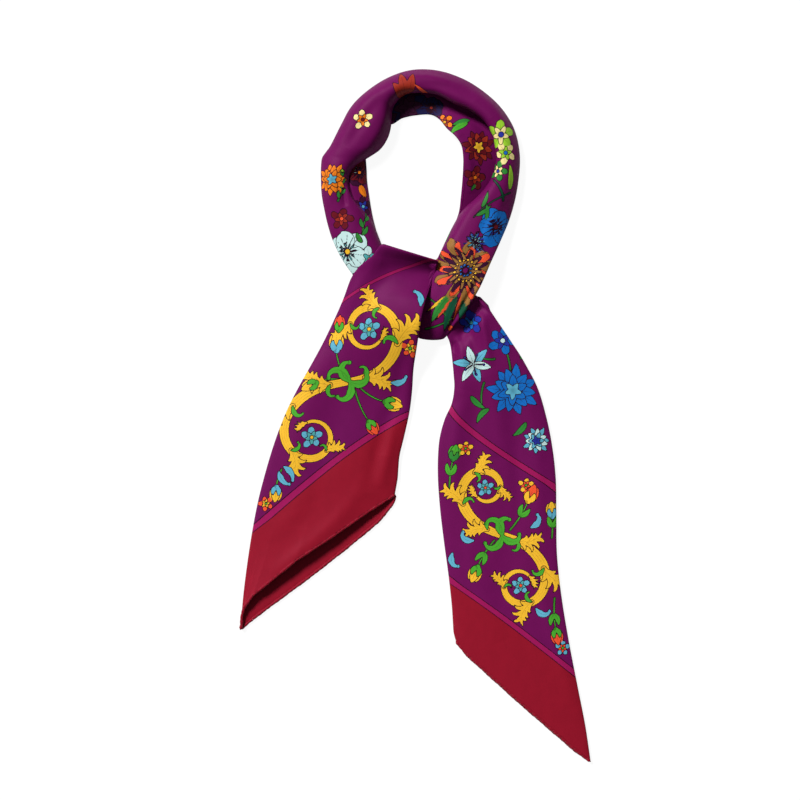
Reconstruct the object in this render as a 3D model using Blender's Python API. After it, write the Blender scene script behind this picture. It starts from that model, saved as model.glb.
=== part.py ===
"""A silk square folded on the bias, tied in a half knot and laid flat on a table.

The folded band makes a soft roll round an open neck loop. At the knot the right limb crosses over the
left one, turns under it, comes up through the loop and falls forward as the left tail. The left limb
passes through and leaves as the right tail. Both tails end in the square's corners, folded on the
diagonal, with a rolled hem along each side of the square.

All the tables are in millimetres: X runs to the right of the scarf as it lies, Y towards the top of the
neck loop, Z up from the table. Rows follow the cloth from one section to the next.
"""

import bmesh
import bpy
import numpy as np

MM = 0.001

SEAM = 0.3  # gap between neighbouring stretches of cloth
LAYER_GAP = 0.6  # gap between a tail's front and back layers along their folds
HEM_RADIUS = 1.4  # of the rolled edge, and of the hem's cloth beside it
HEM_SIDES = 2  # bevel resolution of a hem's round
RESTING_SHARE = 0.4  # how far up a resting roll is widest, as a share of its depth
TABLE_PRESS = 0.4  # how far a resting underside is pressed, which makes it flat

ROLL_POINTS = 18
FOLD_POINTS = 12
KNOT_POINTS = 14
TAIL_POINTS = 22

SILK_PURPLE = (0.195, 0.011, 0.130, 1.0)
SILK_SHADE = (0.110, 0.006, 0.080, 1.0)
SILK_CRIMSON = (0.360, 0.012, 0.030, 1.0)

# The neck loop, clockwise from the pinch on its left. The valley is the line between the outer roll and
# the inner fold that lies lower, on the hole's side; where no fold shows, it is the hole's edge.
NECK_COLUMNS = "outer_x outer_y valley_x valley_y hole_x hole_y base depth fold_depth"
NECK_LOOP = [
    (-71, 197.5, -37.5, 195.5, -37.5, 195.5, 0, 15, 8),
    (-65, 206, -27.5, 203.5, -27.5, 203.5, 0, 17, 8),
    (-56.5, 222.5, -21, 213, -21, 213, 0, 19, 8),
    (-48.5, 236.5, -18.5, 222.5, -17, 221, 0, 20, 8),
    (-36, 248.5, -17, 235.5, -11, 225.5, 0, 20, 8),
    (-20, 258.5, -9.5, 244, -4, 229, 0, 19, 8),
    (-2.5, 264, 1, 246, 2.5, 230.5, 0, 18, 8),
    (17, 263.5, 15.5, 244.5, 12, 230.5, 0, 18, 8),
    (35.5, 257.5, 28.5, 238, 18.5, 226.5, 0, 18, 9),
    (50.5, 248.5, 41.5, 232, 24, 219, 0, 18, 10),
    (64, 236.5, 52, 224, 30, 213, 0, 18, 10.5),
    (73.5, 222.5, 58, 213.5, 34.5, 206, 0, 18, 11),
    (78, 209, 60.5, 202, 36, 197.5, 0, 18, 11),
    (79.5, 195.5, 60.5, 191, 36, 188.5, 0, 18, 11),
    (78.5, 181.5, 56.5, 179.5, 35.5, 179.5, 0, 18, 11),
    (76.5, 168.5, 47.5, 168, 34.5, 170, 0, 18, 10),
    (73.5, 156.5, 36, 157.5, 34, 160.5, 0, 18, 8),
    (69.5, 145, 27.5, 143.5, 27.5, 143.5, 1.5, 17.5, 8),
    (62.5, 129, 20, 127.5, 20, 127.5, 7, 13, 8),
]
RIGHT_FOLD_ROWS = (3.7, 15.6)  # the inner fold's first and last place along the neck loop

# The left limb, from the pinch down to the knot.
LEFT_LIMB = [
    (-71, 197, -45, 195.4, -37.5, 195, 0, 14, 8),
    (-72, 189, -48.5, 189, -37.5, 188.5, 0, 15, 8),
    (-72, 180, -50.5, 179.5, -37, 180, 0, 16, 9),
    (-71.5, 169.5, -53.5, 168, -35.5, 170, 0, 16, 10),
    (-69.5, 158, -56, 156.5, -34, 159.5, 0, 15, 11),
    (-66.5, 145, -53.5, 145, -32, 149.5, 0, 14, 12),
    (-62, 132, -47.5, 134.5, -28, 140, 0, 13.5, 12),
    (-55, 118.5, -40.5, 124.3, -26.5, 130, 0, 13, 12),
]

# The left limb inside the knot, from under the left tail to the neck of the right tail.
PASS_COLUMNS = "lower_x lower_y upper_x upper_y base depth"
KNOT_PASS = [
    (-54.8, 118, -26.3, 129.5, 0.2, 13),
    (-46.5, 104, -21.5, 118.5, 4, 10),
    (-33, 89.5, -8, 111, 6.6, 6.5),
    (-18, 80, 4, 108, 6.6, 6.5),
    (-3.5, 74, 17, 105, 6.6, 6.5),
    (9.5, 69.5, 31, 100, 6.6, 6.5),
    (20, 66, 41.5, 95, 6.4, 6.8),
    (26.8, 54.6, 52.3, 86.6, 2.5, 10),
]

# The right limb as it wraps the left one: over it, round under its lower edge, back up behind it and
# out over its upper edge. Height is that of the band's middle, and half its thickness each way from it.
WRAP_COLUMNS = "west_x west_y east_x east_y height half"
KNOT_WRAP = [
    (19.7, 126.7, 62, 128.2, 13.9, 6.2),
    (15, 117, 57, 117, 14.5, 5.2),
    (8.5, 103.5, 50, 101, 17.2, 3.7),
    (3.5, 91, 43.5, 89.5, 17.3, 3.7),
    (0.5, 80, 37, 79, 17.3, 3.7),
    (-0.5, 70.5, 29.5, 70, 16.8, 3.6),
    (0.5, 64, 24, 63, 14, 3.5),
    (1, 60.5, 21.5, 59.5, 10, 3.4),
    (0.5, 64, 20, 63, 6, 3.2),
    (-2, 70.5, 20, 70, 3.6, 3),
    (-7, 85, 19.5, 83, 3.1, 3),
    (-13.5, 99.5, 18.5, 96, 3.1, 3),
    (-18, 111.5, 18, 106.5, 3.1, 3),
    (-20, 121, 17, 113, 5, 3),
    (-20, 126, 16.5, 116.5, 11, 3),
    (-20, 126, 16.5, 117, 16.5, 3),
]

# Each tail is cloth folded on the diagonal: a front layer over a back one, meeting at the folds along its
# left and right edges. Half is how far each reaches from the level of those edges, crown lifts the middle
# above them, wall is how thick each layer is with all that is folded inside it, and the bows carry the
# middle of the front and back hems past the straight line between the edges, or short of it.
TAIL_COLUMNS = "left_x left_y left_z right_x right_y right_z crown half wall front_bow back_bow"
LEFT_TAIL = [
    (-24, 129, 20, 16.5, 117.5, 20, 0, 3, 3, 0, 0),
    (-31.5, 123, 21.5, 16, 115, 24, 0, 3, 3, 0, 0),
    (-42, 115, 19.5, 14, 108, 25.2, 0, 3, 3, 0, 0),
    (-49, 105, 14.5, 11, 98, 25.5, 2, 3, 3, 0, 0),
    (-55, 89.5, 8, 7, 86, 25.2, 3, 3, 3, 0, 0),
    (-62.5, 73, 3.6, 3.5, 70.5, 24.5, 2, 3, 3, 0, 0),
    (-71, 55.5, 3, 1, 54, 18, 0, 3, 3, 0, 0),
    (-80, 39, 3, -1.5, 37, 9, 0, 3, 3, 0, 0),
    (-89.5, 22, 3, -2.5, 20.5, 4.5, 0, 3, 3, 0, 0),
    (-98.5, 4, 3, -4.5, 4, 3, 0, 3, 3, 0, 0),
    (-107, -18, 3, -8.5, -14.5, 3, 0, 3, 2.8, 0, 0),
    (-114.5, -42.5, 3, -12, -29, 3, 0, 3, 2.4, 0, 0),
    (-121, -68.5, 3, -13, -39.5, 3, 0, 3, 2, 0, 0),
    (-126.5, -99.5, 3, -13.5, -46.5, 3, 0.3, 3, 1.7, -1, 1),
    (-131, -133, 3, -14.5, -52.5, 3, 0.6, 3, 1.5, -5, 3),
    (-133.5, -161.5, 3, -15.5, -58, 3, 1, 3, 1.4, -9, 5),
]
RIGHT_TAIL = [
    (27.5, 54, 7.5, 53, 86, 7.5, 0, 5.5, 5.5, 0, 0),
    (28, 43.5, 6.5, 62, 73, 6.5, 0, 5.5, 5.5, 0, 0),
    (29, 32.5, 5.8, 72, 58.5, 5.8, 0, 5.5, 5.5, 0, 0),
    (29.5, 22, 5.2, 82.5, 42, 5.2, 0, 5.2, 5.2, 0, 0),
    (27.5, 10, 4.6, 92.5, 23.5, 4.6, 0, 4.6, 4.6, 0, 0),
    (22, -2.5, 4, 99, 3, 4, 0, 4, 4, 0, 0),
    (18, -19, 3.6, 104, -20.5, 3.6, 0, 3.6, 3.6, 0, 0),
    (17, -42, 3.3, 107, -46.5, 3.3, 0, 3.3, 3.3, 0, 0),
    (18.5, -67.5, 3.1, 107.5, -75, 3.1, 0, 3.1, 3, 0, 0),
    (21.5, -93.5, 3, 108, -105.5, 3, 0, 3, 2.6, 0, 0),
    (25, -119.5, 3, 111.5, -137.5, 3, 0, 3, 2.2, 0, 0),
    (27.5, -142, 3, 117, -171, 3, 0, 3, 1.9, 0, 0),
    (28.5, -156.5, 3, 123.5, -204.5, 3, 0, 3, 1.6, 0, 0),
    (29, -164, 3, 129.5, -235, 3, 0, 3, 1.5, 1, 1),
    (30.5, -170, 3, 133.5, -262, 3, 0, 3, 1.4, 2, 2),
]


def remove_all_objects():
    for found in list(bpy.data.objects):
        bpy.data.objects.remove(found, do_unlink=True)


def new_material(name, colour, roughness):
    material = bpy.data.materials.new(name)
    material.use_nodes = True
    shader = material.node_tree.nodes["Principled BSDF"]
    shader.inputs["Base Color"].default_value = colour
    shader.inputs["Roughness"].default_value = roughness
    shader.inputs["Metallic"].default_value = 0.0
    material.diffuse_color = colour
    return material


def smooth_rows(names, rows, steps, start=0.0, end=None):
    """Each column of a table on a smooth curve through its rows, with so many steps from row to row."""
    values = np.array(rows, float)
    last = len(values) - 1
    end = last if end is None else end
    places = np.linspace(start, end, int(round((end - start) * steps)) + 1)
    first = np.clip(places.astype(int), 0, last - 1)
    t = (places - first)[:, None]
    before = values[np.maximum(first - 1, 0)]
    here = values[first]
    there = values[first + 1]
    after = values[np.minimum(first + 2, last)]
    curve = 0.5 * (
        2 * here
        + (there - before) * t
        + (2 * before - 5 * here + 4 * there - after) * t**2
        + (3 * here - before - 3 * there + after) * t**3
    )
    return dict(zip(names.split(), curve.T))


def unit(vectors):
    return vectors / np.linalg.norm(vectors, axis=-1, keepdims=True)


def ring_places(count):
    """Where each point of a section lies across it, from 0 to 1, and how far up or down, from -1 to 1."""
    angle = 2 * np.pi * np.arange(count) / count
    return (1 - np.cos(angle)) / 2, np.sin(angle)


def section_rings(edge_a, edge_b, above, below, count, upright=True):
    """The sections of a band of cloth between two edges, and whether the loft through them is inside out.

    Upright sections stand square to the table, and the others square to the way that the band runs.
    """
    across, up = ring_places(count)
    width = edge_b - edge_a
    travel = np.gradient((edge_a + edge_b) / 2, axis=0)
    normal = np.cross(width, travel)
    turned = normal[0, 2] < 0
    normal = unit(-normal if turned else normal)
    if upright:
        normal = np.zeros_like(normal) + (0.0, 0.0, 1.0)
    reach = np.where(up > 0, np.outer(above, up), np.outer(below, up))
    rings = edge_a[:, None] + width[:, None] * across[None, :, None] + normal[:, None] * reach[:, :, None]
    rings[:, :, 2] = np.maximum(rings[:, :, 2], 0.0)
    return rings, turned


def bowed(rings, edge_a, edge_b, crowns, bows):
    """Tail sections with the middle of their front and back halves lifted and moved along."""
    across, up = ring_places(rings.shape[1])
    arch = 4 * across * (1 - across)
    width = unit(edge_b - edge_a)
    travel = np.gradient((edge_a + edge_b) / 2, axis=0)
    onward = np.stack([-width[:, 1], width[:, 0], np.zeros(len(width))], axis=1)
    onward *= np.sign(np.sum(onward * travel, axis=1))[:, None]
    bow = np.where(up > 0, np.outer(bows[0], arch), np.outer(bows[1], arch))
    rings = rings + onward[:, None] * bow[:, :, None]
    rings[:, :, 2] += np.where(up > 0, np.outer(crowns[0], arch), np.outer(crowns[1], arch))
    return rings


def layer_rings(rings, edge_a, edge_b, crown, wall, side):
    """One layer of a tail, the front (side 1) or the back (side -1): its outer face and its inner face."""
    half = rings.shape[1] // 2
    places = np.arange(half + 1) if side > 0 else np.arange(half, 2 * half + 1) % (2 * half)
    outer = rings[:, places].copy()
    across = ring_places(rings.shape[1])[0][places]
    fold_level = edge_a[:, 2:] + (edge_b - edge_a)[:, 2:] * across
    parting = fold_level + np.outer(crown, 4 * across * (1 - across)) + side * LAYER_GAP / 2
    inner = outer[:, -2:0:-1].copy()
    outer[:, :, 2] = side * np.maximum(side * outer[:, :, 2], side * parting)
    reach = side * outer[:, -2:0:-1, 2] - wall[:, None]
    inner[:, :, 2] = side * np.maximum(reach, side * parting[:, -2:0:-1])
    return np.concatenate([outer, inner], axis=1)


def close_end(build, ring):
    """Closes a section with a strip of faces from its upper to its lower side, so a bowed end stays bowed."""
    count = len(ring)
    for i in range(count // 2):
        corners = (ring[i], ring[i + 1], ring[(count - i - 1) % count], ring[(count - i) % count])
        build.faces.new(tuple(dict.fromkeys(corners)))


def lofted_mesh(name, rings, turned):
    """A closed mesh with faces from each ring of points to the next and a face on each end."""
    build = bmesh.new()
    rows = [[build.verts.new(point * MM) for point in ring] for ring in rings]
    count = len(rows[0])
    for here, there in zip(rows, rows[1:]):
        for i in range(count):
            j = (i + 1) % count
            build.faces.new((here[i], here[j], there[j], there[i]))
    close_end(build, rows[0][::-1])
    close_end(build, rows[-1])
    if turned:
        bmesh.ops.reverse_faces(build, faces=build.faces)
    mesh = bpy.data.meshes.new(name)
    build.to_mesh(mesh)
    build.free()
    mesh.shade_smooth()
    return mesh


def add_object(name, data, material, collection):
    made = bpy.data.objects.new(name, data)
    made.data.materials.append(material)
    collection.objects.link(made)
    return made


def plan(rows, name, height):
    """An edge as 3D points: its plan from two columns, and its height."""
    return np.stack([rows[name + "_x"], rows[name + "_y"], np.ones(len(rows[name + "_x"])) * height], axis=1)


def moved_towards(edge, other, distance):
    return edge + unit(other - edge) * distance


def resting_roll(name, rows, edges, base, depth, gaps, count, material, collection):
    """A solid roll of folded cloth: widest a little below half its depth, and flat where it rests."""
    widest = base + RESTING_SHARE * depth
    edge_a = plan(rows, edges[0], widest)
    edge_b = plan(rows, edges[1], widest)
    inset_a = moved_towards(edge_a, edge_b, gaps[0])
    inset_b = moved_towards(edge_b, edge_a, gaps[1])
    above = (1 - RESTING_SHARE) * depth
    below = RESTING_SHARE * depth + TABLE_PRESS * (base < SEAM)
    rings, turned = section_rings(inset_a, inset_b, above, below, count)
    return add_object(name, lofted_mesh(name, rings, turned), material, collection)


def neck_loop(collection, roll_silk, fold_silk):
    rows = smooth_rows(NECK_COLUMNS, NECK_LOOP, 2.5)
    resting_roll(
        "neck_roll", rows, ("outer", "valley"), rows["base"], rows["depth"], (0, SEAM / 2),
        ROLL_POINTS, roll_silk, collection,
    )
    rows = smooth_rows(NECK_COLUMNS, NECK_LOOP, 2.5, *RIGHT_FOLD_ROWS)
    resting_roll(
        "neck_fold_right", rows, ("valley", "hole"), rows["base"], rows["fold_depth"], (SEAM / 2, 0),
        FOLD_POINTS, fold_silk, collection,
    )


def left_limb(collection, roll_silk, fold_silk):
    rows = smooth_rows(NECK_COLUMNS, LEFT_LIMB, 2)
    resting_roll(
        "left_roll", rows, ("outer", "valley"), rows["base"], rows["depth"], (0, SEAM / 2),
        ROLL_POINTS, roll_silk, collection,
    )
    resting_roll(
        "neck_fold_left", rows, ("valley", "hole"), rows["base"], rows["fold_depth"], (SEAM / 2, 0),
        FOLD_POINTS, fold_silk, collection,
    )


def knot(collection, pass_silk, wrap_silk):
    rows = smooth_rows(PASS_COLUMNS, KNOT_PASS, 2)
    resting_roll(
        "knot_pass", rows, ("lower", "upper"), rows["base"], rows["depth"], (0, 0),
        KNOT_POINTS, pass_silk, collection,
    )
    rows = smooth_rows(WRAP_COLUMNS, KNOT_WRAP, 2)
    west = plan(rows, "west", rows["height"])
    east = plan(rows, "east", rows["height"])
    rings, turned = section_rings(west, east, rows["half"], rows["half"], KNOT_POINTS, upright=False)
    add_object("knot_wrap", lofted_mesh("knot_wrap", rings, turned), wrap_silk, collection)


def past_edge(line, onward):
    """A cut edge moved out in plan, the way the cloth runs, to the middle of its rolled hem."""
    along = unit(np.gradient(line[:, :2], axis=0))
    outward = np.stack([along[:, 1], -along[:, 0]], axis=1)
    outward *= np.sign(np.sum(onward[:2] * outward.mean(axis=0)))
    moved = line.copy()
    moved[:, :2] += outward * (HEM_RADIUS + SEAM)
    return moved


def rolled_hem(name, line, material, collection):
    """A rolled edge: a round cord of cloth along a line of points, in millimetres."""
    curve = bpy.data.curves.new(name, "CURVE")
    curve.dimensions = "3D"
    curve.bevel_depth = HEM_RADIUS * MM
    curve.bevel_resolution = HEM_SIDES
    curve.use_fill_caps = True
    spline = curve.splines.new("POLY")
    spline.points.add(len(line) - 1)
    for place, point in zip(spline.points, line):
        place.co = (*(point * MM), 1.0)
    return add_object(name, curve, material, collection)


def tail(name, table, collection, silk, hem_silk):
    """A tail's two layers and the rolled hems on their ends."""
    rows = smooth_rows(TAIL_COLUMNS, table, 2)
    left = plan(rows, "left", rows["left_z"])
    right = plan(rows, "right", rows["right_z"])
    rests = (rows["left_z"] < rows["half"] + TABLE_PRESS) & (rows["right_z"] < rows["half"] + TABLE_PRESS)
    rings, turned = section_rings(left, right, rows["half"], rows["half"] + TABLE_PRESS * rests, TAIL_POINTS)
    crowns = (rows["crown"], rows["crown"] * ~rests)
    rings = bowed(rings, left, right, crowns, (rows["front_bow"], rows["back_bow"]))
    onward = (left[-1] + right[-1]) - (left[-2] + right[-2])
    for layer, side, crown in (("front", 1, crowns[0]), ("back", -1, crowns[1])):
        walls = layer_rings(rings, left, right, crown, rows["wall"], side)
        full_name = f"{name}_{layer}"
        add_object(full_name, lofted_mesh(full_name, walls, turned), silk, collection)
        mouth = past_edge(walls[-1][: TAIL_POINTS // 2 + 1], onward)
        lowest = HEM_RADIUS if side < 0 else 3 * (HEM_RADIUS + SEAM)
        mouth[:, 2] = np.maximum(mouth[:, 2] - side * HEM_RADIUS / 2, lowest)
        if side < 0:
            mouth[:, 2] = lowest
        rolled_hem(f"{name}_hem_{layer}", mouth, hem_silk, collection)


def main():
    remove_all_objects()
    collection = bpy.data.collections.new("silk_square_scarf")
    bpy.context.scene.collection.children.link(collection)
    purple = new_material("purple_silk", SILK_PURPLE, 0.42)
    shade = new_material("shaded_silk", SILK_SHADE, 0.45)
    crimson = new_material("crimson_silk", SILK_CRIMSON, 0.42)
    neck_loop(collection, purple, shade)
    left_limb(collection, purple, shade)
    knot(collection, shade, purple)
    tail("left_tail", LEFT_TAIL, collection, purple, crimson)
    tail("right_tail", RIGHT_TAIL, collection, purple, crimson)


main()
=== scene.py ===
"""The looks of a silk square folded on the bias, tied in a half knot and laid flat.

Each stretch of cloth is a thin shell on its solid's form. Tables and helpers here are in millimetres, as
the solids' are; a mesh is made in metres. The print is laid in screens, as a silk printer does: each point
of the cloth keeps its distance to the edge of the nearest shape of a screen, and that shape's ink.
"""

import bpy
import numpy as np
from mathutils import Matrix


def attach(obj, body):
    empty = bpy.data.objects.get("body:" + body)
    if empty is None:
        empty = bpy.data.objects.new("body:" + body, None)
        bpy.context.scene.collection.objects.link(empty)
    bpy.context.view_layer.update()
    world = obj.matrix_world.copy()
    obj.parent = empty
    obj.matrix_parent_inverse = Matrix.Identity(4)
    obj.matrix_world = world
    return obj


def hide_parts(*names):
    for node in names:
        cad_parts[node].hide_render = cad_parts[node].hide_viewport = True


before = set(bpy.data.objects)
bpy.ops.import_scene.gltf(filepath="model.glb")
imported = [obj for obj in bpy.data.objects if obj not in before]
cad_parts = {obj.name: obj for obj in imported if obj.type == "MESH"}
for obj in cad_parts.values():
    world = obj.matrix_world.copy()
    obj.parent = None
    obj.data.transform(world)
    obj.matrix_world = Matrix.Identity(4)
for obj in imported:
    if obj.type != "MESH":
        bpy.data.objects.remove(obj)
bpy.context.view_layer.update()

MM = 0.001
SILK = 0.35  # thickness of the cloth
LINING = 1.6  # how far in the shell's inner side lies, away from an open end
RESTING_SHARE = 0.4  # how far up the roll's outer edge lies, as a share of its depth
ROLL_LEAN = 0.3  # how far its crest leans in towards the hole
SLACK = 2.0  # how deep a trough gets before the layer under it goes down too
TABLE_PRESS = 0.4  # how far a resting underside is pressed, which makes it flat
TABLE_LEVEL = -0.3
ELLIPSE = 2.0  # power of a roll's section
FLAT_TUBE = 2.6  # power of a tail's section, which is fuller at its edges

HEM_RADIUS = 1.3
HEM_STEP = 0.7  # spacing of the hem's sections
STITCH_EVERY = 4.2  # from one whip stitch of the hem to the next
STITCH_SLANT = 1.8  # how far along the hem a stitch gets on its way over it
THREAD_RADIUS = 0.16

FINE = 0.82  # spacing of the cloth's points where it shows
COARSE = 2.4  # and on its underside
ROLL_SECTION = (32.0, 8.0)  # width and height by which points are spaced round the outer roll
TAIL_HEIGHT = 3.0  # height by which they are spaced round a tail
CURVE_STEPS = 24  # points of a smooth curve from one row of a table to the next
INNER_EVERY = 9  # rows of the outer side to one of the inner side, away from an open end
INNER_FLOOR = 0.1  # least height of the inner side, which keeps it above the table
MOUTH = 42.0  # how far up from an open end the cloth gapes

SCREENS = 5  # how many inks are laid over each other
FAR = 6.0  # distance to a shape's edge, where there is none near
NEAR = 3.0  # how far round a shape its distance is worked out
SCROLL_POINTS = 44
BORDER = 40.0  # the plain border's width, from the hem
BAND = 139.0  # the scroll band's far edge, from the hem
LINE = 4.5  # width of the two lines that bound the band
FIELD = 300.0  # distance from the hem of a stretch that holds only the field
LEFT_LINE_BOW = -11.0  # added to the distance from the hem, half way across the band's far edge
TURN_PER_MM = 6283.185  # a full turn a millimetre, for a place in metres

CAMERA_AT = (-11.8, 12.9, 1443.6)


def srgb(code):
    """A linear colour from a hex code."""
    values = [int(code[i : i + 2], 16) / 255 for i in (1, 3, 5)]
    return tuple(v / 12.92 if v <= 0.04045 else ((v + 0.055) / 1.055) ** 2.4 for v in values)


GROUND = srgb("#5C0B47")
GROUND_LINE = srgb("#86124A")
GROUND_BORDER = srgb("#7C1021")
KEYLINE = srgb("#1C0816")
THREAD = srgb("#6E1420")

GOLD = srgb("#CF9F28")
GREEN = srgb("#3E8F27")
LEAF = srgb("#28722C")
PINE = srgb("#0D452F")
LIME = srgb("#85B32C")
SKY = srgb("#5094AA")
ROYAL = srgb("#105BA4")
DEEP_BLUE = srgb("#202B84")
TEAL_WHITE = srgb("#A8C4C2")
TEAL = srgb("#459090")
CORAL = srgb("#CD4828")
ORANGE = srgb("#CC6C14")
RUST = srgb("#842719")
GARNET = srgb("#571019")
# a plum ink of the print; in the recess under the roll it is also painted shade
PLUM_PRINT_AND_SHADE = srgb("#310E28")
# a near-black navy, painted shade for the flowers in the recess under the roll
SHADED_NAVY = srgb("#11163C")
BROWN = srgb("#815B2C")
CREAM = srgb("#D3C283")

# The outer roll, clockwise from under the left tail: up the left limb, over the top and down the right
# limb. The valley is the line between the outer roll and the inner fold, or the hole's edge. Tuck is how
# far up that edge lies, as a share of the depth: low where the cloth falls away, high where it hangs over.
ROLL_COLUMNS = "outer_x outer_y valley_x valley_y base depth tuck"
OUTER_ROLL = [
    (-44, 103, -18, 114, 0, 12, 0.3),
    (-55, 118.5, -24.5, 128.5, 0, 13, 0.25),
    (-62, 132, -28.6, 139, 0, 13.5, 0.2),
    (-66.5, 145, -32.6, 148.5, 0, 13.5, 0.2),
    (-69.5, 158, -38.5, 157, 0, 13.5, 0.2),
    (-71.5, 169.5, -46.5, 167, 0, 14, 0.2),
    (-72, 180, -50, 179.5, 0, 15, 0.2),
    (-72, 189, -47.5, 188.5, 0, 15.5, 0.2),
    (-71, 197.5, -39.5, 195.5, 0, 15.5, 0.15),
    (-65, 206, -27.5, 203.5, 0, 17, 0.1),
    (-56.5, 222.5, -21, 213, 0, 19, 0.1),
    (-48.5, 236.5, -18.5, 222.5, 0, 20, 0.1),
    (-36, 248.5, -17, 235.5, 0, 20, 0.15),
    (-20, 258.5, -9.5, 244, 0, 19, 0.4),
    (-2.5, 264, 1, 246, 0, 18, 0.65),
    (17, 263.5, 15.5, 244.5, 0, 18, 0.7),
    (35.5, 257.5, 28.5, 238, 0, 18, 0.7),
    (50.5, 248.5, 41.5, 232, 0, 18, 0.7),
    (64, 236.5, 52, 224, 0, 18, 0.7),
    (73.5, 222.5, 58, 213.5, 0, 18, 0.7),
    (78, 209, 60.5, 202, 0, 18, 0.7),
    (79.5, 195.5, 60.5, 191, 0, 18, 0.65),
    (78.5, 181.5, 56.5, 179.5, 0, 18, 0.55),
    (76.5, 168.5, 47.5, 168, 0, 18, 0.4),
    (73.5, 156.5, 36, 157.5, 0, 18, 0.35),
    (69.5, 145, 27.5, 143.5, 1.5, 17.5, 0.35),
    (62.5, 129, 20, 127.5, 7, 13, 0.4),
]
RIGHT_FOLD = [
    (-25, 243, -24, 224, 0, 3, 0.3),
    (-18, 245, -17.5, 223.5, 0, 3, 0.3),
    (-9.5, 247, -9.5, 228.2, 0, 3, 0.3),
    (1, 249, 2.5, 230.5, 0, 3, 0.3),
    (16.5, 247.5, 12, 230.5, 0, 3.5, 0.4),
    (31, 241, 18.5, 226.5, 0, 6, 0.6),
    (44.5, 234.5, 24, 219, 0, 10, 0.85),
    (55, 226, 30, 213, 0, 13, 0.95),
    (61.5, 214.5, 34.5, 206, 0, 14, 0.95),
    (64, 202, 36, 197.5, 0, 13.5, 0.95),
    (64, 191, 36, 188.5, 0, 12.5, 0.95),
    (60, 178.5, 35.5, 179.5, 0, 11, 0.9),
    (52, 166, 34.5, 168, 0, 9, 0.8),
    (45, 156, 33, 156, 0, 7, 0.6),
    (40, 146, 29, 145, 0, 6, 0.5),
]
LEFT_FOLD = [
    (-45, 197.4, -37.8, 197, 0, 8, 0.1),
    (-48.5, 189, -37.2, 188.5, 0, 8, 0.1),
    (-50.5, 179.5, -36.8, 180, 0, 8.5, 0.1),
    (-49.5, 168, -35.4, 170, 0, 9, 0.1),
    (-44, 157, -33.8, 159.5, 0, 9, 0.1),
    (-37, 147, -32, 150.5, 0, 8.5, 0.1),
    (-33, 139, -30, 143, 0, 7, 0.1),
]

# The right limb as it wraps the left one: over it, round under its lower edge and back up behind it.
# Half is how far it reaches each way from the level of its two edges.
# Columns: east_x east_y east_z west_x west_y west_z half
KNOT_WRAP = [
    (57, 117, 15.5, 15, 117, 12, 5.2),
    (50, 101, 17.2, 8.5, 103.5, 12.0, 4.0),
    (43.5, 89.5, 16.6, 3.5, 91, 10.2, 3.9),
    (37, 79, 14.5, 0.5, 80, 8.0, 3.7),
    (29.5, 69.5, 10.0, -0.5, 70.0, 6.0, 3.5),
    (24, 62.0, 5.2, 0.5, 63.0, 4.2, 3.2),
    (21.5, 60.3, 3.8, 1, 61.3, 3.8, 3),
    (20, 63, 3.1, 0.5, 64, 3.1, 3),
    (20, 70, 3.1, -2, 70.5, 3.1, 3),
    (19.5, 83, 3.1, -7, 85, 3.1, 3),
    (18.5, 96, 3.1, -13.5, 99.5, 3.1, 3),
    (18, 106.5, 3.1, -18, 111.5, 3.1, 3),
    (17, 113, 4.5, -20, 121, 4.5, 3),
    (16.5, 115.5, 8, -20, 124.5, 8, 2.5),
]

# The tails. Half is how far the cloth reaches from the level of its two folded edges, and crown lifts
# its middle.
TAIL_COLUMNS = "left_x left_y left_z right_x right_y right_z crown half"
LEFT_TAIL = [
    (-20.5, 123.5, 6, 15.5, 114, 6, 0, 2.6),
    (-24, 128, 16, 16.2, 116.2, 13, 0, 2.8),
    (-26, 129.8, 24.2, 16.8, 117.6, 20.5, 0, 3),
    (-32.5, 122, 19.4, 16, 113.5, 14.8, 0, 3),
    (-42.5, 114, 15, 14, 107, 11.8, 0, 3),
    (-49, 105, 11.8, 11, 98, 15, 0, 3),
    (-55, 89.5, 8, 7, 86, 21.5, 1.5, 3),
    (-62.5, 73, 3.6, 3.5, 70.5, 22.5, 2.5, 3),
    (-71, 55.5, 3, 1, 54, 16.5, 1, 3),
    (-80, 39, 3, -1.5, 37, 9, 0.5, 3),
    (-89.5, 22, 3, -2.5, 20.5, 4.5, 0, 3),
    (-98.5, 4, 3, -4.5, 4, 3, 0, 3),
    (-107, -18, 3, -8.5, -14.5, 3, 0, 3),
    (-114.5, -42.5, 3, -12, -29, 3, 0, 3),
    (-121, -68.5, 3, -13, -39.5, 3, 0, 3),
    (-126.5, -99.5, 3, -13.5, -46.5, 3, 0, 3),
    (-131, -133, 3, -14.5, -52.5, 3, 0, 3),
    (-133.5, -161.5, 3, -15.5, -58, 3, 0, 3),
]
PASS_END = 7  # the first of the right tail's rows that comes out from under the wrap
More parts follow.
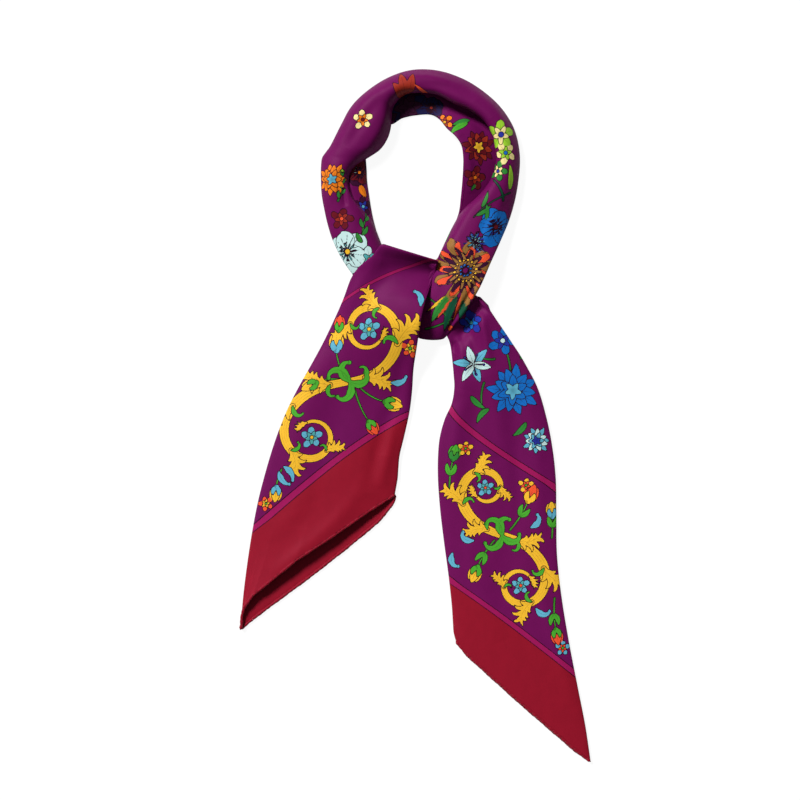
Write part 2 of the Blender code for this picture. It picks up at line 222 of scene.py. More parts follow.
RIGHT_TAIL = [
    (-46.5, 104, 9, -21.5, 118.5, 9, 0, 3.4),
    (-33, 89.5, 9.0, -8, 111, 9.0, 0, 3),
    (-18, 80, 9.0, 4, 108, 9.0, 0, 3),
    (-3.5, 76, 8.8, 17, 105, 8.8, 0, 3),
    (9.5, 73.5, 8.8, 31, 100, 8.8, 0, 3),
    (20, 67, 5.6, 41.5, 95, 10, 0, 3),
    (24.5, 60.5, 4.2, 47.5, 91, 12, 0, 3),
    (26.6, 54.3, 3.6, 52.7, 86.3, 12, 0, 3.2),
    (28, 43.5, 3.8, 62, 73, 9.5, 0, 3.7),
    (29, 32.5, 4.6, 72, 58.5, 7.2, 0, 4.6),
    (29.5, 22, 5.2, 82.5, 42, 5.2, 0, 5.2),
    (27.5, 10, 4.6, 92.5, 23.5, 4.6, 0, 4.6),
    (22, -2.5, 4, 99, 3, 4, 0, 4),
    (18, -19, 3.6, 104, -20.5, 3.6, 0, 3.6),
    (17, -42, 3.3, 107, -46.5, 3.3, 0, 3.3),
    (18.5, -67.5, 3.1, 107.5, -75, 3.1, 0, 3.1),
    (21.5, -93.5, 3, 108, -105.5, 3, 0, 3),
    (25, -119.5, 3, 111.5, -137.5, 3, 0, 3),
    (27.5, -142, 3, 117, -171, 3, 0, 3),
    (28.5, -156.5, 3, 123.5, -204.5, 3, 0, 3),
    (29, -164, 3, 129.5, -235, 3, 0, 3),
    (30.5, -170, 3, 133.5, -262, 3, 0, 3),
]

# A tail's open end. From its left edge to its right: how far the front and back hems are bowed along the
# cloth, and how far the front one is lifted.
# Columns: across front back lift
LEFT_MOUTH = [
    (0, 0, 0, 0),
    (0.02, -2, -0.3, 0.3),
    (0.05, -7, -0.2, 0.8),
    (0.09, -11, 0, 1.8),
    (0.16, -13.6, 0.8, 2.8),
    (0.43, -12, 4.4, 3.6),
    (0.64, -7.4, 6.2, 2.6),
    (0.85, -3.6, 7.2, 1.0),
    (0.97, -0.5, 4, 0.2),
    (1, 0, 0, 0),
]
RIGHT_MOUTH = [
    (0, 0, 0, 0),
    (0.1, 1.6, 2.2, 0),
    (0.5, 1.5, 2.5, 0.6),
    (0.9, 0.8, 1.6, 0),
    (1, 0, 0, 0),
]

# Where the print's lines cross a tail's left and right edges: the way along the edge from the hem, and the
# distance from the hem in the flat square.
# Columns: along_left along_right from_hem
LEFT_TAIL_PRINT = [
    (0, 0, 0),
    (73.5, 58.5, BORDER),
    (80, 64, BORDER + LINE),
    (262, 190, BAND),
    (267, 194.5, BAND + LINE),
    (330, 240, 220),
]
RIGHT_TAIL_PRINT = [
    (0, 0, 0),
    (43.5, 64, BORDER),
    (50, 71, BORDER + LINE),
    (176, 206, BAND),
    (182, 213, BAND + LINE),
    (330, 400, FIELD),
]

# Creases: a soft ridge (height over 0) or trough (under 0) from one place past another to a third. Fade 0
# dies out at both ends, and fade 1 only at the far one.
# Columns: from_x from_y by_x by_y to_x to_y width height fade
ROLL_CREASES = [
    (-66, 198, -54, 226, -32, 250, 6.5, 1.2, 0),
    (-56, 204, -42, 226, -24, 246, 4.5, -1.3, 0),
    (-45, 200, -32, 218, -24, 236, 4, 0.9, 0),
    (-70, 190, -68, 172, -62, 150, 3.5, 0.9, 0),
    (-60, 186, -60, 170, -54, 150, 3, -1.0, 0),
    (-54, 178, -52, 168, -44, 156, 2.2, 1.0, 0),
    (-56, 176, -57, 168, -56, 160, 1.8, -1.6, 0),
    (-40, 152, -46, 140, -44, 122, 4, -0.9, 1),
    (-16, 256, 8, 260, 34, 252, 4, 0.9, 0),
    (-4, 250, 22, 252, 46, 242, 3.5, -0.8, 0),
    (44, 250, 64, 232, 74, 204, 5, 0.9, 0),
    (58, 226, 66, 206, 66, 176, 3.5, -0.9, 0),
    (72, 190, 66, 156, 50, 126, 4, 0.9, 0),
    (52, 170, 40, 146, 26, 120, 4.5, 0.9, 0),
    (60, 156, 50, 126, 38, 96, 3.5, -1.0, 0),
    (50, 108, 36, 84, 22, 62, 1.7, -2.6, 0),
    (53, 106, 42, 86, 28, 66, 2.6, 1.4, 0),
    (38, 116, 24, 92, 10, 70, 4, 0.8, 0),
    (20, 122, 8, 104, -2, 82, 6, -5.0, 0),
]
RIGHT_FOLD_CREASES = [
    (26, 238, 46, 228, 56, 205, 6, -2.0, 0),
    (42, 170, 40, 190, 37, 208, 3.5, 1.0, 0),
    (34, 212, 28, 220, 18, 230, 3.5, 0.8, 0),
]
LEFT_FOLD_CREASES = [
    (-39, 190, -40, 176, -35, 158, 2.2, 0.8, 0),
]
LEFT_TAIL_CREASES = [
    (26, 109, 4, 112, -26, 118, 8, -4.5, 1),
    (18, 108, 6, 88, -3, 60, 4.5, -0.8, 1),
    (-26, 120, -46, 96, -60, 66, 6, 1.3, 0),
    (-16, 112, -34, 88, -44, 56, 6, -1.1, 0),
    (8, 88, -1, 50, -10, -10, 5, 1.5, 0),
    (0, 66, -14, 20, -22, -30, 7, -1.0, 0),
    (-66, 50, -84, 0, -100, -60, 9, 0.9, 0),
    (-54, 34, -68, -30, -84, -90, 10, -0.9, 0),
    (-14, 2, -20, -26, -26, -56, 4.5, 1.3, 0),
    (-22, 6, -30, -28, -36, -60, 5, -0.9, 0),
    (-34, -44, -64, -92, -104, -128, 7, 0.9, 0),
    (-60, -30, -84, -64, -112, -96, 11, 0.8, 0),
]
RIGHT_TAIL_CREASES = [
    (56, 96, 42, 73, 27, 50, 5.5, -5.6, 0),
    (46, 80, 52, 66, 56, 38, 3.6, 2.0, 0),
    (38, 72, 44, 56, 48, 30, 3.8, -2.4, 1),
    (52, 82, 64, 68, 78, 44, 3.8, -1.8, 1),
    (58, 84, 74, 62, 88, 34, 3.4, 1.4, 0),
    (32, 58, 36, 40, 36, 16, 3.4, 1.9, 1),
    (28, 54, 30, 36, 30, 20, 2.6, -1.6, 1),
    (50, 50, 60, 16, 66, -30, 7, 1.2, 0),
    (38, 20, 30, -16, 30, -64, 6, 1.2, 0),
    (48, 30, 44, -20, 42, -70, 7, -1.0, 0),
    (84, 12, 94, -40, 92, -110, 6, 0.9, 0),
    (72, 10, 78, -40, 78, -96, 6, -0.9, 0),
    (60, -40, 70, -100, 64, -150, 9, -0.8, 0),
    (40, -96, 50, -130, 66, -170, 7, 0.8, 0),
    (92, -120, 106, -170, 120, -220, 5, 0.9, 0),
]


# ---------------------------------------------------------------------------------------- cloth forms


def smooth_rows(names, rows, pitch, edges):
    """Each column of a table on a smooth curve through its rows, with rows a pitch apart down the middle."""
    values = np.array(rows, float)
    last = len(values) - 1
    places = np.linspace(0, last, last * CURVE_STEPS + 1)
    first = np.clip(places.astype(int), 0, last - 1)
    t = (places - first)[:, None]
    before = values[np.maximum(first - 1, 0)]
    here = values[first]
    there = values[first + 1]
    after = values[np.minimum(first + 2, last)]
    curve = 0.5 * (
        2 * here
        + (there - before) * t
        + (2 * before - 5 * here + 4 * there - after) * t**2
        + (3 * here - before - 3 * there + after) * t**3
    )
    columns = dict(zip(names.split(), curve.T))
    middle = [sum(columns[f"{edge}_{axis}"] for edge in edges) / 2 for axis in "xy"]
    height = next(name for name in (f"{edges[0]}_z", "base") if name in columns)
    way = way_along(np.stack([*middle, columns[height]], axis=1))
    even = np.linspace(0, way[-1], int(round(way[-1] / pitch)) + 1)
    return {name: np.interp(even, way, column) for name, column in columns.items()}


def way_along(line):
    """How far each point of a line is from its start, along it."""
    return np.concatenate([[0], np.cumsum(np.linalg.norm(np.diff(line, axis=0), axis=1))])


def line_at(line, way, places):
    """The points of a line at places along it, where way is how far along its own points are."""
    return np.stack([np.interp(places, way, column) for column in line.T], axis=1)


def unit(vectors):
    """The same directions, each of length 1."""
    return vectors / np.maximum(np.linalg.norm(vectors, axis=-1, keepdims=True), 1e-9)


def nearest_on_line(points, line, half):
    """For each point, the nearest place of a line: distance, side, share of the way along, half width."""
    start = line[:-1]
    step = line[1:] - start
    length = np.maximum(np.linalg.norm(step, axis=1), 1e-6)
    ahead = step / length[:, None]
    offset = points[:, None] - start
    t = np.clip(np.einsum("nmk,mk->nm", offset, ahead) / length, 0, 1)
    away = offset - ahead * (t * length)[:, :, None]
    distance = np.linalg.norm(away, axis=2)
    reach = half[:-1] + (half[1:] - half[:-1]) * t
    chosen = np.argmin(distance - reach, axis=1)
    every = np.arange(len(points))
    aside = np.stack([-ahead[:, 1], ahead[:, 0]], axis=1)[chosen]
    side = np.sign(np.sum(away[every, chosen] * aside, axis=1))
    along = (chosen + t[every, chosen]) / len(start)
    return distance[every, chosen], side, along, reach[every, chosen]


def even_angles(width, height, power, upper, under):
    """Angles round a section, from one edge over its top to the other and back below, evenly spaced."""
    angle = np.linspace(0, np.pi, 2001)
    across, up = section_curve(angle, power)
    way = way_along(np.stack([across * width, up * height], axis=1))
    over = np.interp(np.linspace(0, way[-1], int(way[-1] / upper) + 1), way, angle)
    below = np.pi + np.interp(np.linspace(0, way[-1], int(way[-1] / under) + 1), way, angle)
    return np.concatenate([over, below[1:-1]])


def section_curve(angle, power):
    """Across from 0 to 1 and up from -1 to 1, on a rounded section: power 2 is an ellipse, more is fuller."""
    c = np.cos(angle)
    s = np.sin(angle)
    return (1 - np.sign(c) * np.abs(c) ** (2 / power)) / 2, np.sign(s) * np.abs(s) ** (2 / power)


class Cloth:
    """A tube of cloth: rows of points round its sections, and where each point lies on the flat cloth."""

    def __init__(self, edge_a, edge_b, above, below, angles, power, upright, lean=0.0):
        self.across, self.up = section_curve(angles, power)
        placed = self.across[None] ** (1 - np.ones(len(edge_a)) * lean)[:, None]
        self.edges = (edge_a, edge_b)
        width = edge_b - edge_a
        travel = np.gradient((edge_a + edge_b) / 2, axis=0)
        normal = unit(np.cross(width, travel))
        if normal[0, 2] < 0:
            normal = -normal
        upright = np.ones(len(width)) * upright
        normal = unit(normal * (1 - upright)[:, None] + np.array([0.0, 0.0, 1.0]) * upright[:, None])
        reach = np.where(self.up > 0, np.outer(above, self.up), np.outer(below, self.up))
        self.points = edge_a[:, None] + width[:, None] * placed[:, :, None]
        self.points = self.points + normal[:, None] * reach[:, :, None]
        self.points[:, :, 2] = np.maximum(self.points[:, :, 2], 0.0)
        self.from_hem = np.full(self.points.shape[:2], FIELD)
        self.unroll()

    def unroll(self):
        """Lays the cloth flat in plan. Its print is turned back at a folded edge, so both layers have it."""
        edge_a, edge_b = self.edges
        steps = np.linalg.norm(np.diff(self.points, axis=1, append=self.points[:, :1]), axis=2)
        way = np.cumsum(steps, axis=1) - steps
        over = int(np.argmax(self.across)) + 1
        middle = np.array([np.interp(0.5, self.across[:over], row[:over]) for row in way])[:, None]
        top = way[:, over - 1 : over]
        whole = (way[:, -1] + steps[:, -1])[:, None]
        centre = ((edge_a + edge_b) / 2)[:, None, :2]
        side = unit((edge_b - edge_a)[:, :2])[:, None]
        self.flat = centre + side * (way - middle)[:, :, None]
        turned = np.where(way > top, top * (whole - way) / np.maximum(whole - top, 1e-6), way)
        self.places = centre + side * (turned - middle)[:, :, None]

    def normals(self):
        """Outward directions."""
        down = np.gradient(self.points, axis=0)
        beside = (np.roll(self.points, -1, axis=1) - np.roll(self.points, 1, axis=1)) / 2
        normal = unit(np.cross(beside, down))
        out = self.points - self.points.mean(axis=1, keepdims=True)
        return normal * np.sign(np.sum(normal * out))

    def gape(self, rows):
        """Bows the front and back hems of an open end and lifts the front one."""
        table = np.array(rows, float).T
        front, back, lift = (np.interp(self.across, table[0], column) for column in table[1:])
        edge_a, edge_b = self.edges
        width = unit(edge_b - edge_a)
        travel = np.gradient((edge_a + edge_b) / 2, axis=0)
        onward = np.stack([-width[:, 1], width[:, 0], np.zeros(len(width))], axis=1)
        onward *= np.sign(np.sum(onward * travel, axis=1))[:, None]
        near = np.clip(1 - self.from_hem / MOUTH, 0, 1)
        bow = np.where(self.up > 0, front, back) * near**1.5
        self.points = self.points + onward[:, None] * bow[:, :, None]
        self.points[:, :, 2] += np.where(self.up > 0, lift * self.up, 0) * near**1.2

    def crease(self, table):
        """Presses soft ridges and troughs into the upper side, and deep troughs into the one under it."""
        points = self.places.reshape(-1, 2)
        lift = np.zeros(len(points))
        t = np.linspace(0, 1, 13)[:, None]
        for from_x, from_y, by_x, by_y, to_x, to_y, width, height, fade in table:
            start, by, end = (np.array(p, float) for p in ((from_x, from_y), (by_x, by_y), (to_x, to_y)))
            line = start * (1 - t) * (1 - 2 * t) + by * 4 * t * (1 - t) + end * t * (2 * t - 1)
            near = np.flatnonzero(close_to(points, line, 3 * width))
            distance, _, along, _ = nearest_on_line(points[near], line, np.zeros(len(line)))
            strength = (1 - along) ** 0.8 if fade else np.sin(np.pi * along) ** 0.6
            lift[near] += height * strength * np.exp(-((distance / width) ** 2))
        lift = lift.reshape(self.points.shape[:2])
        lift = np.where(self.up > 0, lift, np.minimum(lift + SLACK, 0)) * np.sqrt(np.abs(self.up))
        ridge = np.maximum(lift, 0)[:, :, None]
        self.points = self.points + self.normals() * ridge
        self.points[:, :, 2] = np.maximum(self.points[:, :, 2] + np.minimum(lift, 0), 0.0)

    def stretch(self, rows):
        """A part of the tube, by its rows."""
        part = object.__new__(Cloth)
        part.across = self.across
        part.up = self.up
        part.edges = tuple(edge[rows] for edge in self.edges)
        for name in ("points", "flat", "places", "from_hem"):
            setattr(part, name, getattr(self, name)[rows])
        return part

    def area(self):
        """The area of its outer side, in square millimetres."""
        beside = np.roll(self.points, -1, axis=1) - self.points
        down = np.diff(self.points, axis=0)
        return np.linalg.norm(np.cross(beside[:-1], down), axis=2).sum()


def close_to(points, line, margin):
    """Which points lie in the box round a line, widened by a margin."""
    return ((points > line.min(axis=0) - margin) & (points < line.max(axis=0) + margin)).all(axis=1)


# ------------------------------------------------------------------------------------------- the print


class Print:
    """What each point of a stretch of cloth carries from each screen: a form, and its ink.

    A form is the distance to its edge, the place of its ribs, and the way along it.
    """

    def __init__(self, places):
        self.places = places.reshape(-1, 2)
        count = len(self.places)
        self.form = [np.tile((FAR, 0.5, 1.0), (count, 1)) for _ in range(SCREENS)]
        self.ink = [np.tile((*KEYLINE, 1.0), (count, 1)) for _ in range(SCREENS)]

    def stroke(self, screen, line, half, ink, ribs=0.0, frill=0.0, depth=1.0):
        """A shape round a line, of a half width at each of its points, with ribs and a frilled edge."""
        line = np.asarray(line, float)
        half = np.broadcast_to(np.asarray(half, float), len(line))
        near = np.flatnonzero(close_to(self.places, line, half.max() + NEAR))
        if not len(near):
            return
        distance, side, along, reach = nearest_on_line(self.places[near], line, half)
        edge = distance - reach
        across = side * distance / np.maximum(reach, 0.2)
        if frill:
            edge = edge + frill * np.sin(5 * across + 10 * along)
        wins = edge < self.form[screen][near, 0]
        chosen = near[wins]
        self.form[screen][chosen, 0] = edge[wins]
        self.form[screen][chosen, 1] = ribs * across[wins] if ribs else 0.5
        self.form[screen][chosen, 2] = 1 - depth * (1 - along[wins])
        self.ink[screen][chosen, :3] = ink

    def dot(self, screen, x, y, radius, ink):
        """A round dot."""
        self.stroke(screen, [(x, y), (x + 0.01, y)], radius, ink)


def curl(x, y, heading, length, bend_in=0.0, bend_out=None, points=12):
    """A line from a place at a heading. It bends by so many degrees a length at its start and at its end."""
    bend_out = bend_in if bend_out is None else bend_out
    s = np.linspace(0, 1, points)
    middle = (s[1:] + s[:-1]) / 2
    turned = np.radians(heading + bend_in * middle + (bend_out - bend_in) * middle**2 / 2)
    steps = np.stack([np.cos(turned), np.sin(turned)], axis=1) * length / (points - 1)
    return np.concatenate([[(x, y)], (x, y) + np.cumsum(steps, axis=0)])


def place_on(line, share):
    """The point at a share of the way along a line, and the line's heading there."""
    i = min(int(share * (len(line) - 1)), len(line) - 2)
    step = line[i + 1] - line[i]
    x, y = line[i] + step * (share * (len(line) - 1) - i)
    return x, y, np.degrees(np.arctan2(step[1], step[0]))


def rise_and_fall(half, points=12):
    """Half widths of a leaf: narrow, wide and narrow again."""
    s = np.linspace(0, 1, points)
    return half * np.sin(np.pi * s**0.75) ** 0.85 + 0.1


def leaf(cloth, x, y, heading, length, half, ink, bend=20.0, screen=1):
    """A pointed leaf with a midrib."""
    cloth.stroke(screen, curl(x, y, heading, length, bend), rise_and_fall(half), ink, 1.0, depth=0.6)


def stem(cloth, x, y, heading, length, bend_in, bend_out=None, ink=GREEN, half=0.75):
    """A thin stem. Gives its line."""
    line = curl(x, y, heading, length, bend_in, bend_out, 16)
    cloth.stroke(0, line, np.linspace(half * 1.2, half * 0.8, 16), ink)
    return line


# Flowers, from the outermost ring of petals inwards. Lengths are shares of the flower's size: a petal
# starts at one distance from the heart, reaches to another, and is so wide each way from its middle.
# Columns: screen count start reach half point frill turn ribs ink
POPPY = [
    (0, 3, 0.05, 1.0, 0.5, 0.0, 0.035, 0, 0, 0),
    (1, 3, 0.05, 0.9, 0.46, 0.0, 0.035, 60, 0, 1),
    (2, 17, 0.3, 0.78, 0.004, 0.0, 0.0, 9, 0, 2),
    (2, 11, 0.1, 0.42, 0.035, 0.0, 0.0, 0, 0, 2),
    (3, 1, 0.0, 0.15, 0.13, 0.0, 0.0, 0, 0, 3),
]
PARROT = [
    (0, 11, 0.2, 1.0, 0.17, 0.1, 0.035, 0, 2, 0),
    (1, 10, 0.15, 0.88, 0.12, 0.35, 0.03, 20, 2, 1),
    (2, 13, 0.1, 0.7, 0.085, 0.5, 0.02, 6, 1, 2),
    (3, 15, 0.1, 0.54, 0.055, 0.4, 0.0, 10, 0, 3),
    (4, 16, 0.28, 0.36, 0.04, 0.0, 0.0, 0, 0, 4),
    (4, 9, 0.14, 0.2, 0.04, 0.0, 0.0, 10, 0, 5),
]
LILY = [
    (0, 3, 0.0, 1.0, 0.19, 1.0, 0.0, 0, 1, 0),
    (1, 3, 0.0, 0.94, 0.19, 1.0, 0.0, 60, 1, 1),
    (2, 5, 0.05, 0.5, 0.025, 0.0, 0.0, 20, 0, 2),
    (3, 5, 0.46, 0.54, 0.05, 0.0, 0.0, 20, 0, 2),
]
CORNFLOWER = [
    (0, 9, 0.15, 0.98, 0.10, 0.7, 0.03, 0, 1, 0),
    (0, 9, 0.3, 0.86, 0.07, 0.7, 0.0, 14, 1, 1),
    (1, 9, 0.2, 0.74, 0.08, 0.8, 0.0, 20, 1, 1),
    (2, 7, 0.1, 0.42, 0.06, 0.8, 0.0, 0, 0, 2),
    (3, 5, 0.06, 0.2, 0.04, 0.0, 0.0, 30, 0, 3),
]
ROSETTE = [
    (1, 5, 0.1, 1.0, 0.32, 0.1, 0.03, 0, 1, 0),
    (2, 5, 0.05, 0.6, 0.18, 0.4, 0.0, 36, 1, 1),
    (3, 1, 0.0, 0.2, 0.18, 0.0, 0.0, 0, 0, 2),
]
LOTUS = [
    (0, 7, 0.1, 1.0, 0.2, 0.9, 0.0, 0, 1, 0),
    (1, 7, 0.08, 0.82, 0.2, 0.8, 0.0, 25, 1, 1),
    (2, 6, 0.05, 0.58, 0.16, 0.8, 0.0, 0, 1, 0),
    (3, 5, 0.0, 0.34, 0.11, 0.7, 0.0, 30, 0, 2),
]


def flower(cloth, kind, x, y, size, turn, inks):
    """A flower of a kind, with an ink for each number in its rings."""
    s = np.linspace(0, 1, 8)
    rounded = 0.3 + 0.7 * np.sin(0.5 * np.pi * s**0.8)
    pointed = np.sin(np.pi * s**0.75) ** 0.85 + 0.03
    for screen, count, start, reach, half, point, frill, ring_turn, ribs, ink in kind:
        widths = size * half * (rounded * (1 - point) + pointed * point)
        for i in range(count):
            heading = turn + ring_turn + 360 * i / count
            from_x = x + size * start * np.cos(np.radians(heading))
            from_y = y + size * start * np.sin(np.radians(heading))
            uneven = 1 + 0.07 * np.sin(2.4 * i + turn)
            length = max(size * (reach * uneven - start) - widths[-1], 0.05)
            line = curl(from_x, from_y, heading, length, 14 * np.sin(1.7 * i + turn), points=8)
            cloth.stroke(screen, line, widths, inks[ink], ribs, frill * size, 0.9)


def bud(cloth, x, y, heading, size, ink, cup_ink):
    """A closed flower seen from the side: pleated petals over a curled cup."""
    for side in (-1, 1, 0):
        line = curl(x, y, heading + 24 * side, size * (1.0 - 0.1 * abs(side)), -22 * side, points=8)
        cloth.stroke(1 if side else 2, line, rise_and_fall(size * 0.27, 8), ink, 1.0, depth=0.5)
    for side in (-1, 1):
        line = curl(x, y, heading + 62 * side, size * 0.62, -95 * side, points=8)
        cloth.stroke(3, line, rise_and_fall(size * 0.15, 8), cup_ink, depth=0.4)
    cloth.dot(3, x, y, size * 0.17, cup_ink)


def spray(cloth, x, y, heading, length, bend, pairs, reach, ink, bud_ink):
    """A stem with leaves in turn to each side and a bud at its end."""
    line = stem(cloth, x, y, heading, length, bend, bend * 1.5, ink)
    for i in range(2 * pairs):
        side = -1 if i % 2 else 1
        at_x, at_y, way = place_on(line, 0.12 + 0.78 * i / (2 * pairs))
        size = reach * (1 - 0.06 * i)
        leaf(cloth, at_x, at_y, way + 46 * side, size, size * 0.2, ink, -40 * side)
    bud(cloth, *place_on(line, 1.0), reach * 0.8, bud_ink, ink)


def swelling(points, shares, halves):
    """Half widths at even points of a line, from those at a few shares of the way along it."""
    return np.interp(np.linspace(0, 1, points), shares, halves)


def finger(half, points=12):
    """Half widths of a leaf's finger: full near its root and drawn in to a rounded tip."""
    return half * swelling(points, (0, 0.3, 0.75, 1), (0.7, 1.0, 0.65, 0.2))


# The fingers of an acanthus leaf: where each leaves the rib, as a share of it, on which side, and its
# length, as a share of the leaf's.
# Columns: share side length
FINGERS = [
    (0.05, 1, 0.42),
    (0.1, -1, 0.36),
    (0.24, 1, 0.5),
    (0.3, -1, 0.42),
    (0.45, 1, 0.46),
    (0.52, -1, 0.34),
    (0.66, 1, 0.36),
]


def acanthus_leaf(cloth, x, y, heading, size, side):
    """A leaf whose fingers fan out from a bent rib and roll back at their tips. Its rib bends to one side."""
    rib = curl(x, y, heading, size, 10 * side, 150 * side, 18)
    cloth.stroke(2, rib, finger(size * 0.12, 18), GOLD, 1.0, depth=0.4)
    for share, hand, length in FINGERS:
        way_out = -side * hand
        at_x, at_y, way = place_on(rib, share)
        line = curl(at_x, at_y, way + 30 * way_out, size * length, -20 * way_out, 190 * way_out)
        cloth.stroke(2, line, finger(size * 0.085), GOLD, 1.0, depth=0.4)


def scroll(cloth, x, y, heading, length, bend_in, bend_out, leaves, eye_inks):
    """One arm of a running scroll: a fluted stem, leafy on its outer side, that winds in on a flower."""
    line = curl(x, y, heading, length, bend_in, bend_out, SCROLL_POINTS)
    half = swelling(SCROLL_POINTS, (0, 0.3, 0.7, 1), (2.8, 4.3, 2.8, 1.2))
    cloth.stroke(1, line, half, GOLD, 2.0, depth=0.3)
    side = -1 if bend_out > 0 else 1
    for share, size in leaves:
        at_x, at_y, way = place_on(line, share)
        acanthus_leaf(cloth, at_x, at_y, way + 20 * side, size, side)
        curled_leaf(cloth, at_x, at_y, way - 40 * side, size * 0.5, -100 * side, size * 0.08, screen=3)
    end_x, end_y, way = place_on(line, 1.0)
    acanthus_leaf(cloth, end_x, end_y, way, 11, -side)
    radius = length / np.radians(abs(bend_out))
    inward = np.radians(way - 90 * side)
    eye = (end_x + radius * np.cos(inward), end_y + radius * np.sin(inward))
    flower(cloth, ROSETTE, *eye, radius * 0.72, 20, eye_inks)


def curled_leaf(cloth, x, y, heading, length, bend, half, ink=GREEN, screen=2):
    """A fleshy leaf that rolls up at its end."""
    line = curl(x, y, heading, length, bend * 0.4, bend * 2.6, 18)
    widths = swelling(18, (0, 0.35, 0.75, 1), (0.35, 1, 0.65, 0.3))
    cloth.stroke(screen, line, widths * half, ink, 1.0, depth=0.3)
    cloth.dot(screen, *line[-1], half * 0.55, ink)


def scroll_joint(cloth, x, y, arms, eye_inks, leaves, half):
    """The arms of a running scroll that leave one joint, with curled leaves between them."""
    for heading, length, bend_in, bend_out, sizes in arms:
        scroll(cloth, x, y, heading, length, bend_in, bend_out, sizes, eye_inks)
    for heading, bend, length in leaves:
        curled_leaf(cloth, x, y, heading, length, bend, half, screen=3)


def budding_stems(cloth, rows, leafy=False):
    """Stems that end in a bud. Leafy ones have a pair of leaves half way."""
    for x, y, heading, length, bend, size, ink, cup in rows:
        line = stem(cloth, x, y, heading, length, bend)
        if leafy:
            at_x, at_y, way = place_on(line, 0.5)
            leaf(cloth, at_x, at_y, way + 44, 10, 2.0, GREEN, -50)
            leaf(cloth, at_x, at_y, way - 44, 10, 2.0, GREEN, 50)
        bud(cloth, *place_on(line, 1.0), size, ink, cup)


def blue_leaves(cloth, rows):
    """Small curled leaves beside the scroll."""
    for x, y, heading, bend in rows:
        curled_leaf(cloth, x, y, heading, 13, bend, 2.6, SKY, 3)


def print_left_tail(cloth):
    """The scroll band down the left tail."""
    arms = (
        (8, 150, 120, 700, ((0.08, 24), (0.33, 28), (0.55, 21), (0.74, 19))),
        (188, 152, 20, 740, ((0.1, 24), (0.32, 26), (0.56, 22), (0.76, 16))),
    )
    joint_leaves = ((112, 110, 24), (150, -110, 21), (330, 110, 20), (290, -110, 22))
    scroll_joint(cloth, -50, 27, arms, (SKY, TEAL, GOLD), joint_leaves, 3.2)
    buds = (
        (-54, 32, 124, 20, -30, 15, GOLD, SKY),
        (-56, 28, 166, 20, 40, 13, GOLD, GREEN),
        (-42, 22, 316, 22, 30, 14, GOLD, GREEN),
        (-46, 20, 284, 26, 20, 12, CORAL, GREEN),
        (-102, -40, 244, 14, 20, 12, GOLD, SKY),
        (-61, 56, 78, 10, 10, 12, CORAL, GREEN),
    )
    budding_stems(cloth, buds)
    blue_leaves(cloth, ((-104, -42, 282, 50), (-100, -38, 330, -50), (-18, 26, 350, 60), (4, 84, 80, 60)))
    flower(cloth, ROSETTE, -4, 52, 7, 10, (CORAL, GOLD, GREEN))
    flower(cloth, ROSETTE, -114, -66, 6, 40, (CORAL, GOLD, GREEN))


def print_right_tail(cloth):
    """The scroll band across the right tail, and field flowers over it."""
    arms = (
        (342, 128, -50, -740, ((0.1, 21), (0.33, 24), (0.56, 21), (0.78, 15))),
        (162, 120, -50, -740, ((0.1, 20), (0.33, 22), (0.56, 19), (0.78, 14))),
    )
    joint_leaves = ((86, 110, 22), (124, -110, 19), (304, 110, 19), (264, -110, 21))
    scroll_joint(cloth, 66, -90, arms, (SKY, TEAL, CORAL), joint_leaves, 3.0)
    buds = (
        (72, -86, 48, 26, 20, 14, CORAL, GOLD),
        (60, -94, 228, 24, 20, 13, GOLD, GREEN),
        (106, -138, 264, 24, 16, 12, CORAL, GREEN),
        (26, -56, 92, 24, -16, 12, GREEN, LEAF),
        (104, -92, 84, 16, 10, 12, GOLD, SKY),
    )
    budding_stems(cloth, buds, leafy=True)
    blue_leaves(cloth, ((88, -84, 20, 80), (92, -146, 300, 90), (44, -94, 190, -90), (28, -104, 250, 80)))
    for x, y, size, ink in ((84, -52, 6, GOLD), (38, -24, 6, GOLD), (112, -176, 6, SKY)):
        flower(cloth, ROSETTE, x, y, size, 15, (ink, CORAL, GREEN))

    flower(cloth, LOTUS, 74, 20, 20, 25, (ROYAL, ROYAL, SKY))
    flower(cloth, LOTUS, 92, -18, 11, 5, (SKY, TEAL_WHITE, DEEP_BLUE))
    flower(cloth, LILY, 44, 40, 16, 50, (SKY, TEAL_WHITE, DEEP_BLUE))
    flower(cloth, ROSETTE, 66, 58, 11, 0, (ROYAL, DEEP_BLUE, TEAL_WHITE))
    flower(cloth, ROSETTE, 42, 72, 9, 30, (DEEP_BLUE, ROYAL, TEAL))
    for x, y, heading, length, bend in ((72, 36, 96, 22, 20), (52, 26, 250, 24, 40), (60, 44, 190, 14, -40)):
        stem(cloth, x, y, heading, length, bend, ink=LEAF)
    for x, y, heading, bend in ((56, 6, 200, 60), (84, -4, 250, -50), (42, 16, 300, 40), (80, 44, 60, -60)):
        leaf(cloth, x, y, heading, 15, 2.2, LEAF, bend)


